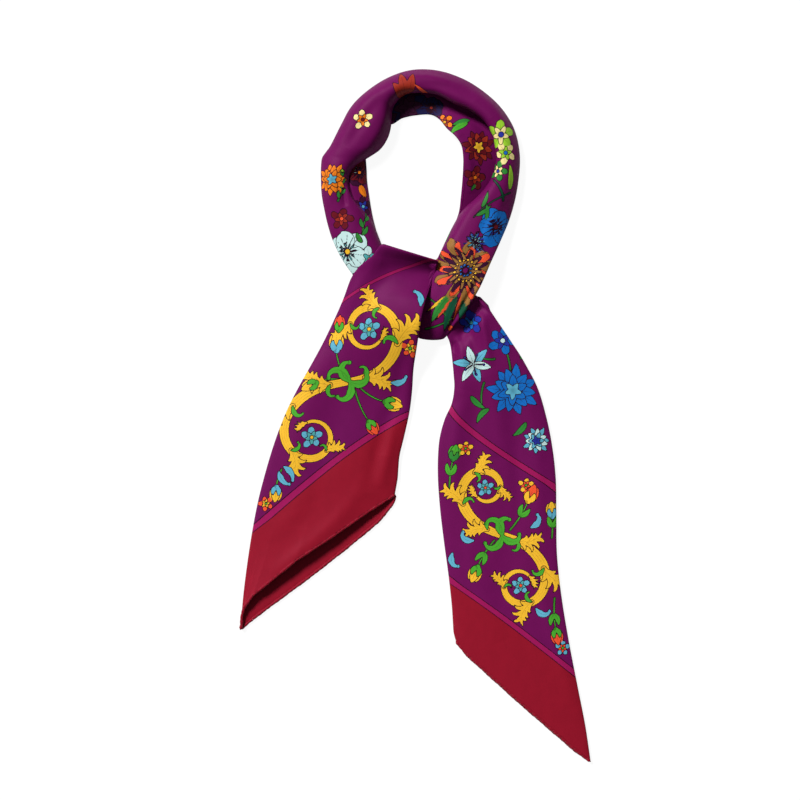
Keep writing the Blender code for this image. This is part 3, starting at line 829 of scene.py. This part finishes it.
def print_outer_roll(cloth):
    """Field flowers round the neck loop and over the knot."""
    flower(cloth, POPPY, -56, 124, 17, 40, (TEAL_WHITE, TEAL_WHITE, TEAL, GOLD))
    flower(cloth, ROSETTE, -38, 118, 10, 30, (TEAL_WHITE, TEAL, ORANGE))
    spray(cloth, -44, 128, 96, 30, -30, 2, 9, LEAF, CORAL)
    flower(cloth, ROSETTE, -60, 150, 9, 80, (GARNET, RUST, CORAL))
    flower(cloth, LOTUS, -66, 180, 13, 0, (ORANGE, ORANGE, SKY))
    spray(cloth, -62, 164, 60, 20, 30, 2, 6, LEAF, LIME)
    flower(cloth, ROSETTE, -44, 226, 8, 20, (CREAM, ORANGE, GARNET))
    for heading, length in ((96, 26), (70, 24), (120, 18)):
        leaf(cloth, -8, 240, heading, length, 3.8, RUST, 14)
    leaf(cloth, 10, 240, 116, 18, 1.8, CORAL, 30)
    flower(cloth, ROSETTE, 66, 214, 12, 20, (LIME, CREAM, DEEP_BLUE))
    flower(cloth, ROSETTE, 70, 200, 9, 50, (CREAM, LIME, ROYAL))
    flower(cloth, ROSETTE, 64, 186, 8, 0, (LEAF, CREAM, DEEP_BLUE))
    leaf(cloth, 75, 172, 84, 20, 2.6, LIME, 20, 1)
    stem(cloth, 70, 164, 100, 18, 40, ink=PINE, half=0.9)
    stem(cloth, 76, 170, 200, 34, 30, ink=PINE, half=0.6)
    for x, y, heading in ((54, 158, 60), (50, 152, 20), (58, 148, 78)):
        leaf(cloth, x, y, heading, 14, 1.5, LEAF, 30)
    flower(cloth, POPPY, 66, 144, 15, 10, (ROYAL, ROYAL, DEEP_BLUE, GARNET))
    flower(cloth, CORNFLOWER, 50, 132, 9, 30, (DEEP_BLUE, SKY, TEAL_WHITE, GARNET))
    flower(cloth, PARROT, 38, 110, 25, 8, (BROWN, CORAL, PLUM_PRINT_AND_SHADE, BROWN, GOLD, ROYAL))
    for x, y, heading, length, ink, accent in (
        (38, 92, 258, 26, PINE, CORAL),
        (32, 92, 240, 28, PINE, CORAL),
        (24, 132, 80, 22, LEAF, CORAL),
        (26, 92, 226, 24, LEAF, GOLD),
    ):
        leaf(cloth, x, y, heading, length, 3.0, ink, 18, 0)
        leaf(cloth, x - 3, y, heading, length * 0.8, 1.1, accent, -14, 0)
    stem(cloth, 6, 92, -20, 34, -60, ink=LEAF, half=0.7)
    stem(cloth, 8, 68, 10, 22, 20, ink=LEAF, half=0.7)
    cloth.dot(1, 27, 68, 2.2, CORAL)


def print_right_fold(cloth):
    """Darker field flowers on the fold at the hole's right. The plum and navy ones in the recess under the
    roll are painted shade.
    """
    flower(cloth, LOTUS, 48, 205, 14, 20, (GARNET, RUST, GOLD))
    flower(cloth, ROSETTE, 45, 182, 9, 10, (GARNET, RUST, ORANGE))
    leaf(cloth, 40, 224, 200, 18, 2.4, GREEN, 30)
    leaf(cloth, 42, 226, 180, 16, 1.8, LEAF, 40)
    flower(cloth, ROSETTE, 22, 224, 7, 40, (ORANGE, RUST, GOLD))
    # Painted shade: these plum and navy flowers darken the recess under the roll beyond the reach of its cast
    # shadow.
    flower(cloth, LOTUS, -6, 237, 20, 10, (PLUM_PRINT_AND_SHADE, SHADED_NAVY, PLUM_PRINT_AND_SHADE))
    flower(cloth, POPPY, 12, 236, 10, 30, (SHADED_NAVY, SHADED_NAVY, RUST, RUST))
    leaf(cloth, 42, 172, 60, 14, 1.2, LEAF, -40)


def print_left_fold(cloth):
    """Darker field flowers on the fold at the hole's left."""
    flower(cloth, POPPY, -43, 186, 11, 20, (PLUM_PRINT_AND_SHADE, GARNET, TEAL_WHITE, ORANGE))
    leaf(cloth, -42, 176, 290, 10, 2.6, ORANGE, 20)
    flower(cloth, ROSETTE, -40, 160, 8, 20, (PLUM_PRINT_AND_SHADE, DEEP_BLUE, SKY))


# ------------------------------------------------------------------------------------------- materials


def add_node(tree, kind, **settings):
    """A new node, with its settings."""
    node = tree.nodes.new(kind)
    for name, value in settings.items():
        setattr(node, name, value)
    return node


def set_inputs(node, values):
    """Gives inputs of a node their values, by name."""
    for name, value in values.items():
        node.inputs[name].default_value = value


def feed(tree, socket, value):
    """Links an input to another node's output, or gives it a number or a colour."""
    if isinstance(value, bpy.types.NodeSocket):
        tree.links.new(value, socket)
    elif isinstance(value, tuple):
        socket.default_value = (*value[:3], 1.0)
    elif value is not None:
        socket.default_value = value


def calculate(tree, operation, a, b=None):
    """A Math node: each input is a socket or a number."""
    node = add_node(tree, "ShaderNodeMath", operation=operation)
    feed(tree, node.inputs[0], a)
    feed(tree, node.inputs[1], b)
    return node.outputs[0]


def remap(tree, value, low, high, out_low=0.0, out_high=1.0):
    """A smooth step of a socket's value from one range to another."""
    node = add_node(tree, "ShaderNodeMapRange", interpolation_type="SMOOTHSTEP")
    feed(tree, node.inputs["Value"], value)
    set_inputs(node, {"From Min": low, "From Max": high, "To Min": out_low, "To Max": out_high})
    return node.outputs["Result"]


def mix_colours(tree, factor, a, b, blend="MIX"):
    """A mix of two colours, each a socket or a colour."""
    node = add_node(tree, "ShaderNodeMix", data_type="RGBA", blend_type=blend)
    for number, value in zip((0, 6, 7), (factor, a, b)):
        feed(tree, node.inputs[number], value)
    return node.outputs[2]


def grey(tree, value):
    """A grey from a socket's value, to multiply a colour by."""
    node = add_node(tree, "ShaderNodeCombineColor")
    for socket in node.inputs:
        tree.links.new(value, socket)
    return node.outputs[0]


def new_group(name, inputs, outputs):
    """A shader group with named sockets: {name: (kind, default)} in, {name: kind} out."""
    group = bpy.data.node_groups.new(name, "ShaderNodeTree")
    for label, (kind, default) in inputs.items():
        socket = group.interface.new_socket(label, in_out="INPUT", socket_type=kind)
        if default is not None:
            socket.default_value = default
    for label, kind in outputs.items():
        group.interface.new_socket(label, in_out="OUTPUT", socket_type=kind)
    return group, group.nodes.new("NodeGroupInput"), group.nodes.new("NodeGroupOutput")


def screen_group():
    """One screen of ink over what is under it, with a thin dark keyline and ribs."""
    group, source, result = new_group(
        "printed_screen",
        {
            "Under": ("NodeSocketColor", None),
            "Ink": ("NodeSocketColor", None),
            "Form": ("NodeSocketVector", None),
            "Keyline": ("NodeSocketColor", (*KEYLINE, 1.0)),
            "Keyline Half Width": ("NodeSocketFloat", 0.26),
            "Rib Half Width": ("NodeSocketFloat", 0.06),
        },
        {"Colour": "NodeSocketColor"},
    )
    parts = add_node(group, "ShaderNodeSeparateXYZ")
    group.links.new(source.outputs["Form"], parts.inputs[0])
    edge, rib, along = parts.outputs
    covered = remap(group, edge, 0.1, -0.1)
    from_edge = calculate(group, "ABSOLUTE", edge)
    off_edge = calculate(group, "SUBTRACT", from_edge, source.outputs["Keyline Half Width"])
    outline = remap(group, off_edge, 0.12, -0.12)
    off_rib = calculate(group, "PINGPONG", rib, 0.5)
    thinning = calculate(group, "SUBTRACT", 1.15, along)
    rib_room = calculate(group, "MULTIPLY", thinning, source.outputs["Rib Half Width"])
    rib_line = remap(group, calculate(group, "SUBTRACT", off_rib, rib_room), 0.05, -0.03)
    deep = calculate(group, "LESS_THAN", edge, 0.0)
    rib_line = calculate(group, "MULTIPLY", calculate(group, "MULTIPLY", rib_line, deep), 0.7)
    shade = remap(group, along, 0.0, 0.75, 0.6, 1.06)
    ink = mix_colours(group, 1.0, source.outputs["Ink"], grey(group, shade), "MULTIPLY")
    colour = mix_colours(group, covered, source.outputs["Under"], ink)
    dark = calculate(group, "MAXIMUM", outline, rib_line)
    colour = mix_colours(group, dark, colour, source.outputs["Keyline"])
    group.links.new(colour, result.inputs["Colour"])
    return group


def twill_group():
    """Silk twill: fine diagonal ribs of the weave, as height and as a faint tone."""
    group, source, result = new_group(
        "silk_twill",
        {"Rib Spacing": ("NodeSocketFloat", 0.55), "Slub": ("NodeSocketFloat", 0.5)},
        {"Height": "NodeSocketFloat", "Tone": "NodeSocketFloat"},
    )
    uv = add_node(group, "ShaderNodeUVMap", uv_map="flat_cloth")
    parts = add_node(group, "ShaderNodeSeparateXYZ")
    group.links.new(uv.outputs[0], parts.inputs[0])
    diagonal = calculate(group, "ADD", parts.outputs[0], calculate(group, "MULTIPLY", parts.outputs[1], 0.3))
    turned = calculate(group, "MULTIPLY", diagonal, TURN_PER_MM)
    wave = calculate(group, "SINE", calculate(group, "DIVIDE", turned, source.outputs["Rib Spacing"]))
    cloudy = add_node(group, "ShaderNodeTexNoise")
    set_inputs(cloudy, {"Scale": 90.0, "Detail": 4.0})
    stretch = add_node(group, "ShaderNodeMapping")
    set_inputs(stretch, {"Scale": (1.6, 1.0, 1.0)})
    group.links.new(uv.outputs[0], stretch.inputs["Vector"])
    group.links.new(stretch.outputs[0], cloudy.inputs["Vector"])
    slub = calculate(group, "MULTIPLY", cloudy.outputs["Fac"], source.outputs["Slub"])
    group.links.new(calculate(group, "ADD", wave, slub), result.inputs["Height"])
    group.links.new(remap(group, cloudy.outputs["Fac"], 0.3, 0.7, 0.97, 1.03), result.inputs["Tone"])
    return group


def read_attribute(tree, name, output):
    return add_node(tree, "ShaderNodeAttribute", attribute_name=name).outputs[output]


def ground_colour(tree):
    """The dyed ground: plain border, then band and field of one dye, each behind a line with keylines."""
    from_hem = read_attribute(tree, "from_hem", "Fac")
    colour = mix_colours(tree, remap(tree, from_hem, BORDER + 0.12, BORDER - 0.12), GROUND, GROUND_BORDER)
    for start in (BORDER, BAND):
        off = calculate(tree, "ABSOLUTE", calculate(tree, "SUBTRACT", from_hem, start + LINE / 2))
        colour = mix_colours(tree, remap(tree, off, LINE / 2 + 0.1, LINE / 2 - 0.1), colour, GROUND_LINE)
        rim = calculate(tree, "ABSOLUTE", calculate(tree, "SUBTRACT", off, LINE / 2))
        colour = mix_colours(tree, remap(tree, rim, 0.42, 0.18), colour, KEYLINE)
    return colour


def new_material(name):
    """A material, its nodes and its main shader."""
    material = bpy.data.materials.new(name)
    material.use_nodes = True
    return material, material.node_tree, material.node_tree.nodes["Principled BSDF"]


def printed_silk(screen, twill):
    """The printed cloth: the dyed ground, and each screen's ink over what is under it."""
    material, tree, shader = new_material("printed_silk_twill")
    colour = ground_colour(tree)
    for i in range(SCREENS):
        node = add_node(tree, "ShaderNodeGroup", node_tree=screen)
        tree.links.new(colour, node.inputs["Under"])
        tree.links.new(read_attribute(tree, f"ink_{i}", "Color"), node.inputs["Ink"])
        tree.links.new(read_attribute(tree, f"form_{i}", "Vector"), node.inputs["Form"])
        colour = node.outputs["Colour"]
    finish_silk(tree, shader, twill, colour)
    return material


def hem_silk(twill):
    """The border's plain cloth, of the rolled hems."""
    material, tree, shader = new_material("border_silk_twill")
    finish_silk(tree, shader, twill, GROUND_BORDER)
    return material


def finish_silk(tree, shader, twill, colour):
    """The soft shine of silk twill over its colour."""
    weave = add_node(tree, "ShaderNodeGroup", node_tree=twill)
    colour = mix_colours(tree, 1.0, colour, grey(tree, weave.outputs["Tone"]), "MULTIPLY")
    tree.links.new(colour, shader.inputs["Base Color"])
    set_inputs(shader, {"Roughness": 0.5, "Specular IOR Level": 0.08, "Specular Tint": (0.95, 0.5, 0.75, 1.0)})
    bump = add_node(tree, "ShaderNodeBump")
    set_inputs(bump, {"Strength": 0.25, "Distance": 0.04 * MM})
    tree.links.new(weave.outputs["Height"], bump.inputs["Height"])
    tree.links.new(bump.outputs[0], shader.inputs["Normal"])


def thread_paint():
    """The thread of the whip stitches."""
    material, _, shader = new_material("hem_thread")
    set_inputs(shader, {"Base Color": (*THREAD, 1.0), "Roughness": 0.6})
    return material


# ----------------------------------------------------------------------------------------------- pieces


def new_mesh(name, points, quads, caps=()):
    """A mesh in metres, from points in millimetres, quads of their numbers, and end caps."""
    faces = np.concatenate([quads.ravel(), *caps]).astype(np.int32)
    starts = np.cumsum([0, *([4] * len(quads)), *(len(cap) for cap in caps)])[:-1]
    mesh = bpy.data.meshes.new(name)
    mesh.vertices.add(points.size // 3)
    mesh.vertices.foreach_set("co", (points * MM).astype(np.float32).ravel())
    mesh.loops.add(len(faces))
    mesh.loops.foreach_set("vertex_index", faces)
    mesh.polygons.add(len(starts))
    mesh.polygons.foreach_set("loop_start", starts.astype(np.int32))
    mesh.update(calc_edges=True)
    return mesh, faces


def grid_quads(rows, columns, ring):
    """Quads through rows of points, closed across each row, and from the last row to the first in a ring."""
    row, column = np.meshgrid(np.arange(rows if ring else rows - 1), np.arange(columns), indexing="ij")
    below = (row + 1) % rows
    beside = (column + 1) % columns
    corners = [(row, column), (row, beside), (below, beside), (below, column)]
    return np.stack([r * columns + c for r, c in corners], axis=-1).reshape(-1, 4)


def points_in(points, middle):
    """Whether quads through these rows would face into the tube."""
    section = points[middle]
    normal = np.cross(np.roll(section, -1, axis=0) - section, points[middle + 1] - section)
    return np.sum(normal * (section - section.mean(axis=0))) < 0


def add_piece(name, mesh, material):
    mesh.materials.append(material)
    mesh.shade_smooth()
    piece = bpy.data.objects.new(name, mesh)
    bpy.context.scene.collection.objects.link(piece)
    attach(piece, "root")
    return piece


def set_attribute(mesh, name, kind, values):
    attribute = mesh.attributes.new(name, kind, "POINT")
    field = {"FLOAT": "value", "FLOAT_VECTOR": "vector", "FLOAT_COLOR": "color"}[kind]
    attribute.data.foreach_set(field, np.asarray(values, np.float32).ravel())


def lay_flat(mesh, faces, flat):
    """Gives each corner of a mesh its place on the flat cloth, in metres."""
    layer = mesh.uv_layers.new(name="flat_cloth")
    layer.data.foreach_set("uv", (flat.reshape(-1, 2)[faces] * MM).astype(np.float32).ravel())


def shell_mesh(name, cloth, mouth):
    """A thin shell: all the outer rows, and the inner ones that are kept. Gives the mesh and those."""
    count = len(cloth.points)
    near = count - (int(MOUTH / FINE) if mouth else 1)
    kept = np.concatenate([np.arange(0, near, INNER_EVERY), np.arange(near, count)])[::-1]
    room = np.minimum(LINING, 0.25 * np.ptp(cloth.points[kept, :, 2], axis=1))
    depth = np.where(kept >= near, SILK, room)[:, None, None]
    inner = cloth.points[kept] - cloth.normals()[kept] * depth
    inner[:, :, 2] = np.maximum(inner[:, :, 2], INNER_FLOOR)
    points = np.concatenate([cloth.points, inner])
    quads = grid_quads(len(points), points.shape[1], ring=True)
    if points_in(cloth.points, count // 2):
        quads = quads[:, ::-1]
    mesh, faces = new_mesh(name, points, quads)
    lay_flat(mesh, faces, np.concatenate([cloth.flat, cloth.flat[kept]]))
    return mesh, kept


def sheet_piece(name, cloth, design, material, nodes, mouth=False):
    """A stretch of printed cloth: a thin shell and its print. The solids that it stands for are hidden."""
    mesh, kept = shell_mesh(name, cloth, mouth)
    inks = Print(np.concatenate([cloth.places, cloth.places[kept]]))
    design(inks)
    set_attribute(mesh, "from_hem", "FLOAT", np.concatenate([cloth.from_hem, cloth.from_hem[kept]]))
    for i in range(SCREENS):
        set_attribute(mesh, f"form_{i}", "FLOAT_VECTOR", inks.form[i])
        set_attribute(mesh, f"ink_{i}", "FLOAT_COLOR", inks.ink[i])

    piece = add_piece(name, mesh, material)
    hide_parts(*nodes)
    length = way_along(cloth.points.mean(axis=1))[-1]
    flat_size = (round(cloth.area() / length * MM, 3), round(length * MM, 3))
    return piece


def edge_line(rows, edge, height):
    """An edge of a stretch in plan, at a height."""
    x = rows[f"{edge}_x"]
    return np.stack([x, rows[f"{edge}_y"], np.ones(len(x)) * height], axis=1)


def resting_cloth(table, creases, outer_share, fullness):
    """An inner fold that rests on the table, from a table of its outer and inner edges."""
    rows = smooth_rows(ROLL_COLUMNS, table, FINE, ("outer", "valley"))
    edge_a = edge_line(rows, "outer", outer_share * rows["depth"])
    edge_b = edge_line(rows, "valley", rows["tuck"] * rows["depth"])
    above = fullness * rows["depth"]
    below = (outer_share + rows["tuck"]) / 2 * rows["depth"] + TABLE_PRESS
    width = np.linalg.norm(edge_b - edge_a, axis=1).mean()
    angles = even_angles(width, above.mean(), ELLIPSE, FINE, COARSE)
    cloth = Cloth(edge_a, edge_b, above, below, angles, ELLIPSE, 1.0)
    cloth.crease(creases)
    return cloth


def outer_roll_cloth():
    """The outer roll, run on over the knot and round under it."""
    loop = smooth_rows(ROLL_COLUMNS, OUTER_ROLL, 6.0, ("outer", "valley"))
    outer = edge_line(loop, "outer", loop["base"] + RESTING_SHARE * loop["depth"])
    valley = edge_line(loop, "valley", loop["base"] + loop["tuck"] * loop["depth"])
    below = (RESTING_SHARE + loop["tuck"]) / 2 * loop["depth"]
    above = loop["depth"] - below
    below = below + TABLE_PRESS * (loop["base"] < 0.1)
    wrap = np.array(KNOT_WRAP, float)
    loop_rows = np.column_stack([outer, valley, above, below, np.ones(len(outer))])
    wrap_rows = np.column_stack([wrap, wrap[:, 6], np.zeros(len(wrap))])
    names = "outer_x outer_y outer_z valley_x valley_y valley_z above below upright"
    rows = smooth_rows(names, np.concatenate([loop_rows, wrap_rows]), FINE, ("outer", "valley"))
    edge_a = edge_line(rows, "outer", rows["outer_z"])
    edge_b = edge_line(rows, "valley", rows["valley_z"])
    upright = np.clip(rows["upright"], 0, 1)
    angles = even_angles(*ROLL_SECTION, ELLIPSE, FINE, COARSE)
    cloth = Cloth(edge_a, edge_b, rows["above"], rows["below"], angles, ELLIPSE, upright, ROLL_LEAN * upright)
    cloth.crease(ROLL_CREASES)
    return cloth


def tail_cloth(table, print_table, creases, mouth_table, line_bow):
    """A tail: two layers that are joined at its folded edges and open at its end."""
    rows = smooth_rows(TAIL_COLUMNS, table, FINE, ("left", "right"))
    left = edge_line(rows, "left", rows["left_z"])
    right = edge_line(rows, "right", rows["right_z"])
    rests = (rows["left_z"] < rows["half"] + TABLE_PRESS) & (rows["right_z"] < rows["half"] + TABLE_PRESS)
    width = np.percentile(np.linalg.norm(right - left, axis=1), 80)
    angles = even_angles(width, TAIL_HEIGHT, FLAT_TUBE, FINE, COARSE)
    cloth = Cloth(left, right, rows["half"], rows["half"] + TABLE_PRESS * rests, angles, FLAT_TUBE, 1.0)
    arch = 4 * cloth.across * (1 - cloth.across)
    crown = np.outer(rows["crown"], arch)
    cloth.points[:, :, 2] += np.where(cloth.up > 0, crown, crown * ~rests[:, None])
    cloth.unroll()

    stations = np.array(print_table, float)
    hem_left = np.interp(way_along(left[::-1])[::-1], stations[:, 0], stations[:, 2])
    hem_right = np.interp(way_along(right[::-1])[::-1], stations[:, 1], stations[:, 2])
    share = cloth.across[None]
    bow = line_bow * np.clip((hem_left + hem_right) / 2 / BAND, 0, 1) ** 2
    cloth.from_hem = hem_left[:, None] * (1 - share) + hem_right[:, None] * share + bow[:, None] * arch[None]
    cloth.crease(creases)
    cloth.gape(mouth_table)
    return cloth


def mouth_line(cloth, front):
    """The cut edge of a tail's front or back layer, moved out to the middle of its rolled hem."""
    columns = np.flatnonzero(cloth.up >= -1e-6 if front else cloth.up <= 1e-6)
    columns = columns[np.argsort(cloth.across[columns])]
    edge = cloth.points[-1, columns]
    onward = unit((edge - cloth.points[-4, columns]) * (1, 1, 0))
    line = edge + onward * HEM_RADIUS * 0.7
    line[:, 2] = np.maximum(line[:, 2] - HEM_RADIUS * 0.8, 2.7 * HEM_RADIUS) if front else HEM_RADIUS
    return line


def rolled_hem(name, line, silk, node, phase):
    """A rolled edge: a soft cord of cloth, drawn in under each whip stitch. Gives its stitches."""
    way = way_along(line)
    even = np.linspace(0, way[-1], int(way[-1] / HEM_STEP))
    line = line_at(line, way, even)
    along = unit(np.gradient(line, axis=0))
    aside = unit(np.cross(along, (0, 0, 1)))
    up = np.cross(aside, along)
    drawn = 0.84 + 0.16 * np.abs(np.sin(np.pi * even / STITCH_EVERY))
    uneven = 0.08 * np.sin(even * 0.31 + phase) + 0.05 * np.sin(even * 0.83 + 2 * phase)
    radius = HEM_RADIUS * (drawn + uneven) * np.clip(np.minimum(even, even[::-1]) / 1.5, 0.15, 1)
    angle = np.linspace(0, 2 * np.pi, 14, endpoint=False)
    circle = np.cos(angle)[None, :, None] * aside[:, None] + np.sin(angle)[None, :, None] * up[:, None]
    points = line[:, None] + circle * radius[:, None, None]
    points[:, :, 2] = np.maximum(points[:, :, 2], 0.0)
    rows, columns = points.shape[:2]
    quads = grid_quads(rows, columns, ring=False)
    caps = (np.arange(columns)[::-1], np.arange(columns) + (rows - 1) * columns)
    if points_in(points, rows // 2):
        quads = quads[:, ::-1]
        caps = tuple(cap[::-1] for cap in caps)
    mesh, faces = new_mesh(name, points, quads, caps)
    lay_flat(mesh, faces, np.stack(np.broadcast_arrays(even[:, None], angle[None] * HEM_RADIUS), axis=-1))
    hem = add_piece(name, mesh, silk)
    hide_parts(node)
    return whip_stitches(line, even, radius, along, aside, up)


def whip_stitches(line, even, radius, along, aside, up):
    """The stitches over a hem, each as sections of a bent thread that goes over it aslant."""
    turn = np.linspace(-0.2, np.pi + 0.2, 7)
    around = np.linspace(0, 2 * np.pi, 5)[:-1]
    stitches = []
    for at in np.arange(STITCH_EVERY, even[-1] - 2, STITCH_EVERY):
        k = int(np.argmin(np.abs(even - at)))
        centre = line_at(line, even, at + (turn / np.pi - 0.5) * STITCH_SLANT)
        out = np.cos(turn)[:, None] * aside[k] + np.sin(turn)[:, None] * up[k]
        arc = centre + out * (radius[k] + 0.05)
        section = np.cos(around)[:, None] * out[:, None] + np.sin(around)[:, None] * along[k]
        stitches.append(arc[:, None] + THREAD_RADIUS * section)
    return stitches


def stitch_piece(name, stitches, thread):
    """All of a tail's whip stitches, each a short bent thread with closed ends."""
    rows, sides = stitches[0].shape[:2]
    one = grid_quads(rows, sides, ring=False)
    one = np.concatenate([one, [np.arange(sides)[::-1], np.arange(sides) + (rows - 1) * sides]])
    if points_in(stitches[0], rows // 2):
        one = one[:, ::-1]
    quads = (one[None] + np.arange(len(stitches))[:, None, None] * rows * sides).reshape(-1, 4)
    mesh, _ = new_mesh(name, np.stack(stitches), quads)
    add_piece(name, mesh, thread)


def build_loop(silk):
    """The loop round the neck: the roll, which runs on into the knot, and its inner folds."""
    outer_roll = outer_roll_cloth()
    roll_nodes = ("left_roll", "neck_roll", "knot_wrap")
    roll = sheet_piece("neck_and_knot_cloth", outer_roll, print_outer_roll, silk, roll_nodes)
    right_fold = resting_cloth(RIGHT_FOLD, RIGHT_FOLD_CREASES, 0.1, 0.12)
    sheet_piece("inner_fold_right_cloth", right_fold, print_right_fold, silk, ("neck_fold_right",))
    left_fold = resting_cloth(LEFT_FOLD, LEFT_FOLD_CREASES, 0.75, 0.25)
    sheet_piece("inner_fold_left_cloth", left_fold, print_left_fold, silk, ("neck_fold_left",))
    return roll


def build_tails(silk, roll):
    """The two tails, and the stretch of the right one that lies inside the knot."""
    left = tail_cloth(LEFT_TAIL, LEFT_TAIL_PRINT, LEFT_TAIL_CREASES, LEFT_MOUTH, LEFT_LINE_BOW)
    left_nodes = ("left_tail_front", "left_tail_back")
    sheet_piece("left_tail_cloth", left, print_left_tail, silk, left_nodes, mouth=True)

    right = tail_cloth(RIGHT_TAIL, RIGHT_TAIL_PRINT, RIGHT_TAIL_CREASES, RIGHT_MOUTH, 0.0)
    neck = int(np.argmax(right.edges[0][:, 0] >= RIGHT_TAIL[PASS_END][0] - 4))
    inside = right.stretch(slice(0, neck + 1, 3))
    sheet_piece("knot_inside_cloth", inside, print_right_tail, silk, ("knot_pass",))
    right = right.stretch(slice(neck - 3, None))
    right_nodes = ("right_tail_front", "right_tail_back")
    sheet_piece("right_tail_cloth", right, print_right_tail, silk, right_nodes, mouth=True)
    return left, right


def build_hems(side, cloth, border, thread):
    """The rolled hems of a tail's two layers, and all their stitches in one piece."""
    stitches = []
    for phase, layer in enumerate(("front", "back"), 1):
        line = mouth_line(cloth, layer == "front")
        node = f"{side}_tail_hem_{layer}"
        stitches += rolled_hem(f"{side}_rolled_hem_{layer}", line, border, node, phase)
    stitch_piece(f"{side}_hem_stitches", stitches, thread)


def build_scarf():
    """All the cloth of the scarf, and its hems."""
    twill = twill_group()
    silk = printed_silk(screen_group(), twill)
    border = hem_silk(twill)
    thread = thread_paint()
    left, right = build_tails(silk, build_loop(silk))
    build_hems("left", left, border, thread)
    build_hems("right", right, border, thread)


# ------------------------------------------------------------------------------------------------ stage


def add_sun(name, energy, angle, tilt_x, tilt_y):
    sun = bpy.data.objects.new(name, bpy.data.lights.new(name, "SUN"))
    sun.data.energy = energy
    sun.data.angle = np.radians(angle)
    sun.rotation_euler = (np.radians(tilt_x), np.radians(tilt_y), 0)
    bpy.context.scene.collection.objects.link(sun)


def lit_through(tree, shader, share):
    """A table top lit from below, so that shadows on it stay faint. It adds no light to the scene."""
    glow = add_node(tree, "ShaderNodeEmission")
    set_inputs(glow, {"Strength": 1.03})
    rays = add_node(tree, "ShaderNodeLightPath")
    mix = add_node(tree, "ShaderNodeMixShader")
    tree.links.new(calculate(tree, "MULTIPLY", rays.outputs["Is Camera Ray"], share), mix.inputs[0])
    tree.links.new(shader.outputs[0], mix.inputs[1])
    tree.links.new(glow.outputs[0], mix.inputs[2])
    tree.links.new(mix.outputs[0], tree.nodes["Material Output"].inputs["Surface"])


def build_stage():
    """A pale table, a key light from the top left, faint light from overhead and a camera straight above."""
    bpy.ops.object.select_all(action="DESELECT")
    bpy.ops.mesh.primitive_plane_add(size=12.0, location=(0, 0, TABLE_LEVEL * MM))
    table = bpy.context.active_object
    table.name = "pale_table"
    paint, tree, shader = new_material("pale_table")
    set_inputs(shader, {"Base Color": (0.88, 0.88, 0.88, 1.0), "Roughness": 0.9, "Specular IOR Level": 0.1})
    lit_through(tree, shader, 0.9)
    table.data.materials.append(paint)

    scene = bpy.context.scene
    scene.view_settings.view_transform = "Standard"
    world = bpy.data.worlds.new("studio")
    world.use_nodes = True
    set_inputs(world.node_tree.nodes["Background"], {"Color": (1.0, 1.0, 1.0, 1.0), "Strength": 0.08})
    scene.world = world
    add_sun("key_light", 5.35, 14, -32, -34)
    add_sun("overhead_light", 0.25, 70, 0, 0)

    camera = bpy.data.objects.new("camera", bpy.data.cameras.new("camera"))
    camera.data.lens = 85
    camera.location = [value * MM for value in CAMERA_AT]
    scene.collection.objects.link(camera)
    scene.camera = camera


build_scarf()
build_stage()
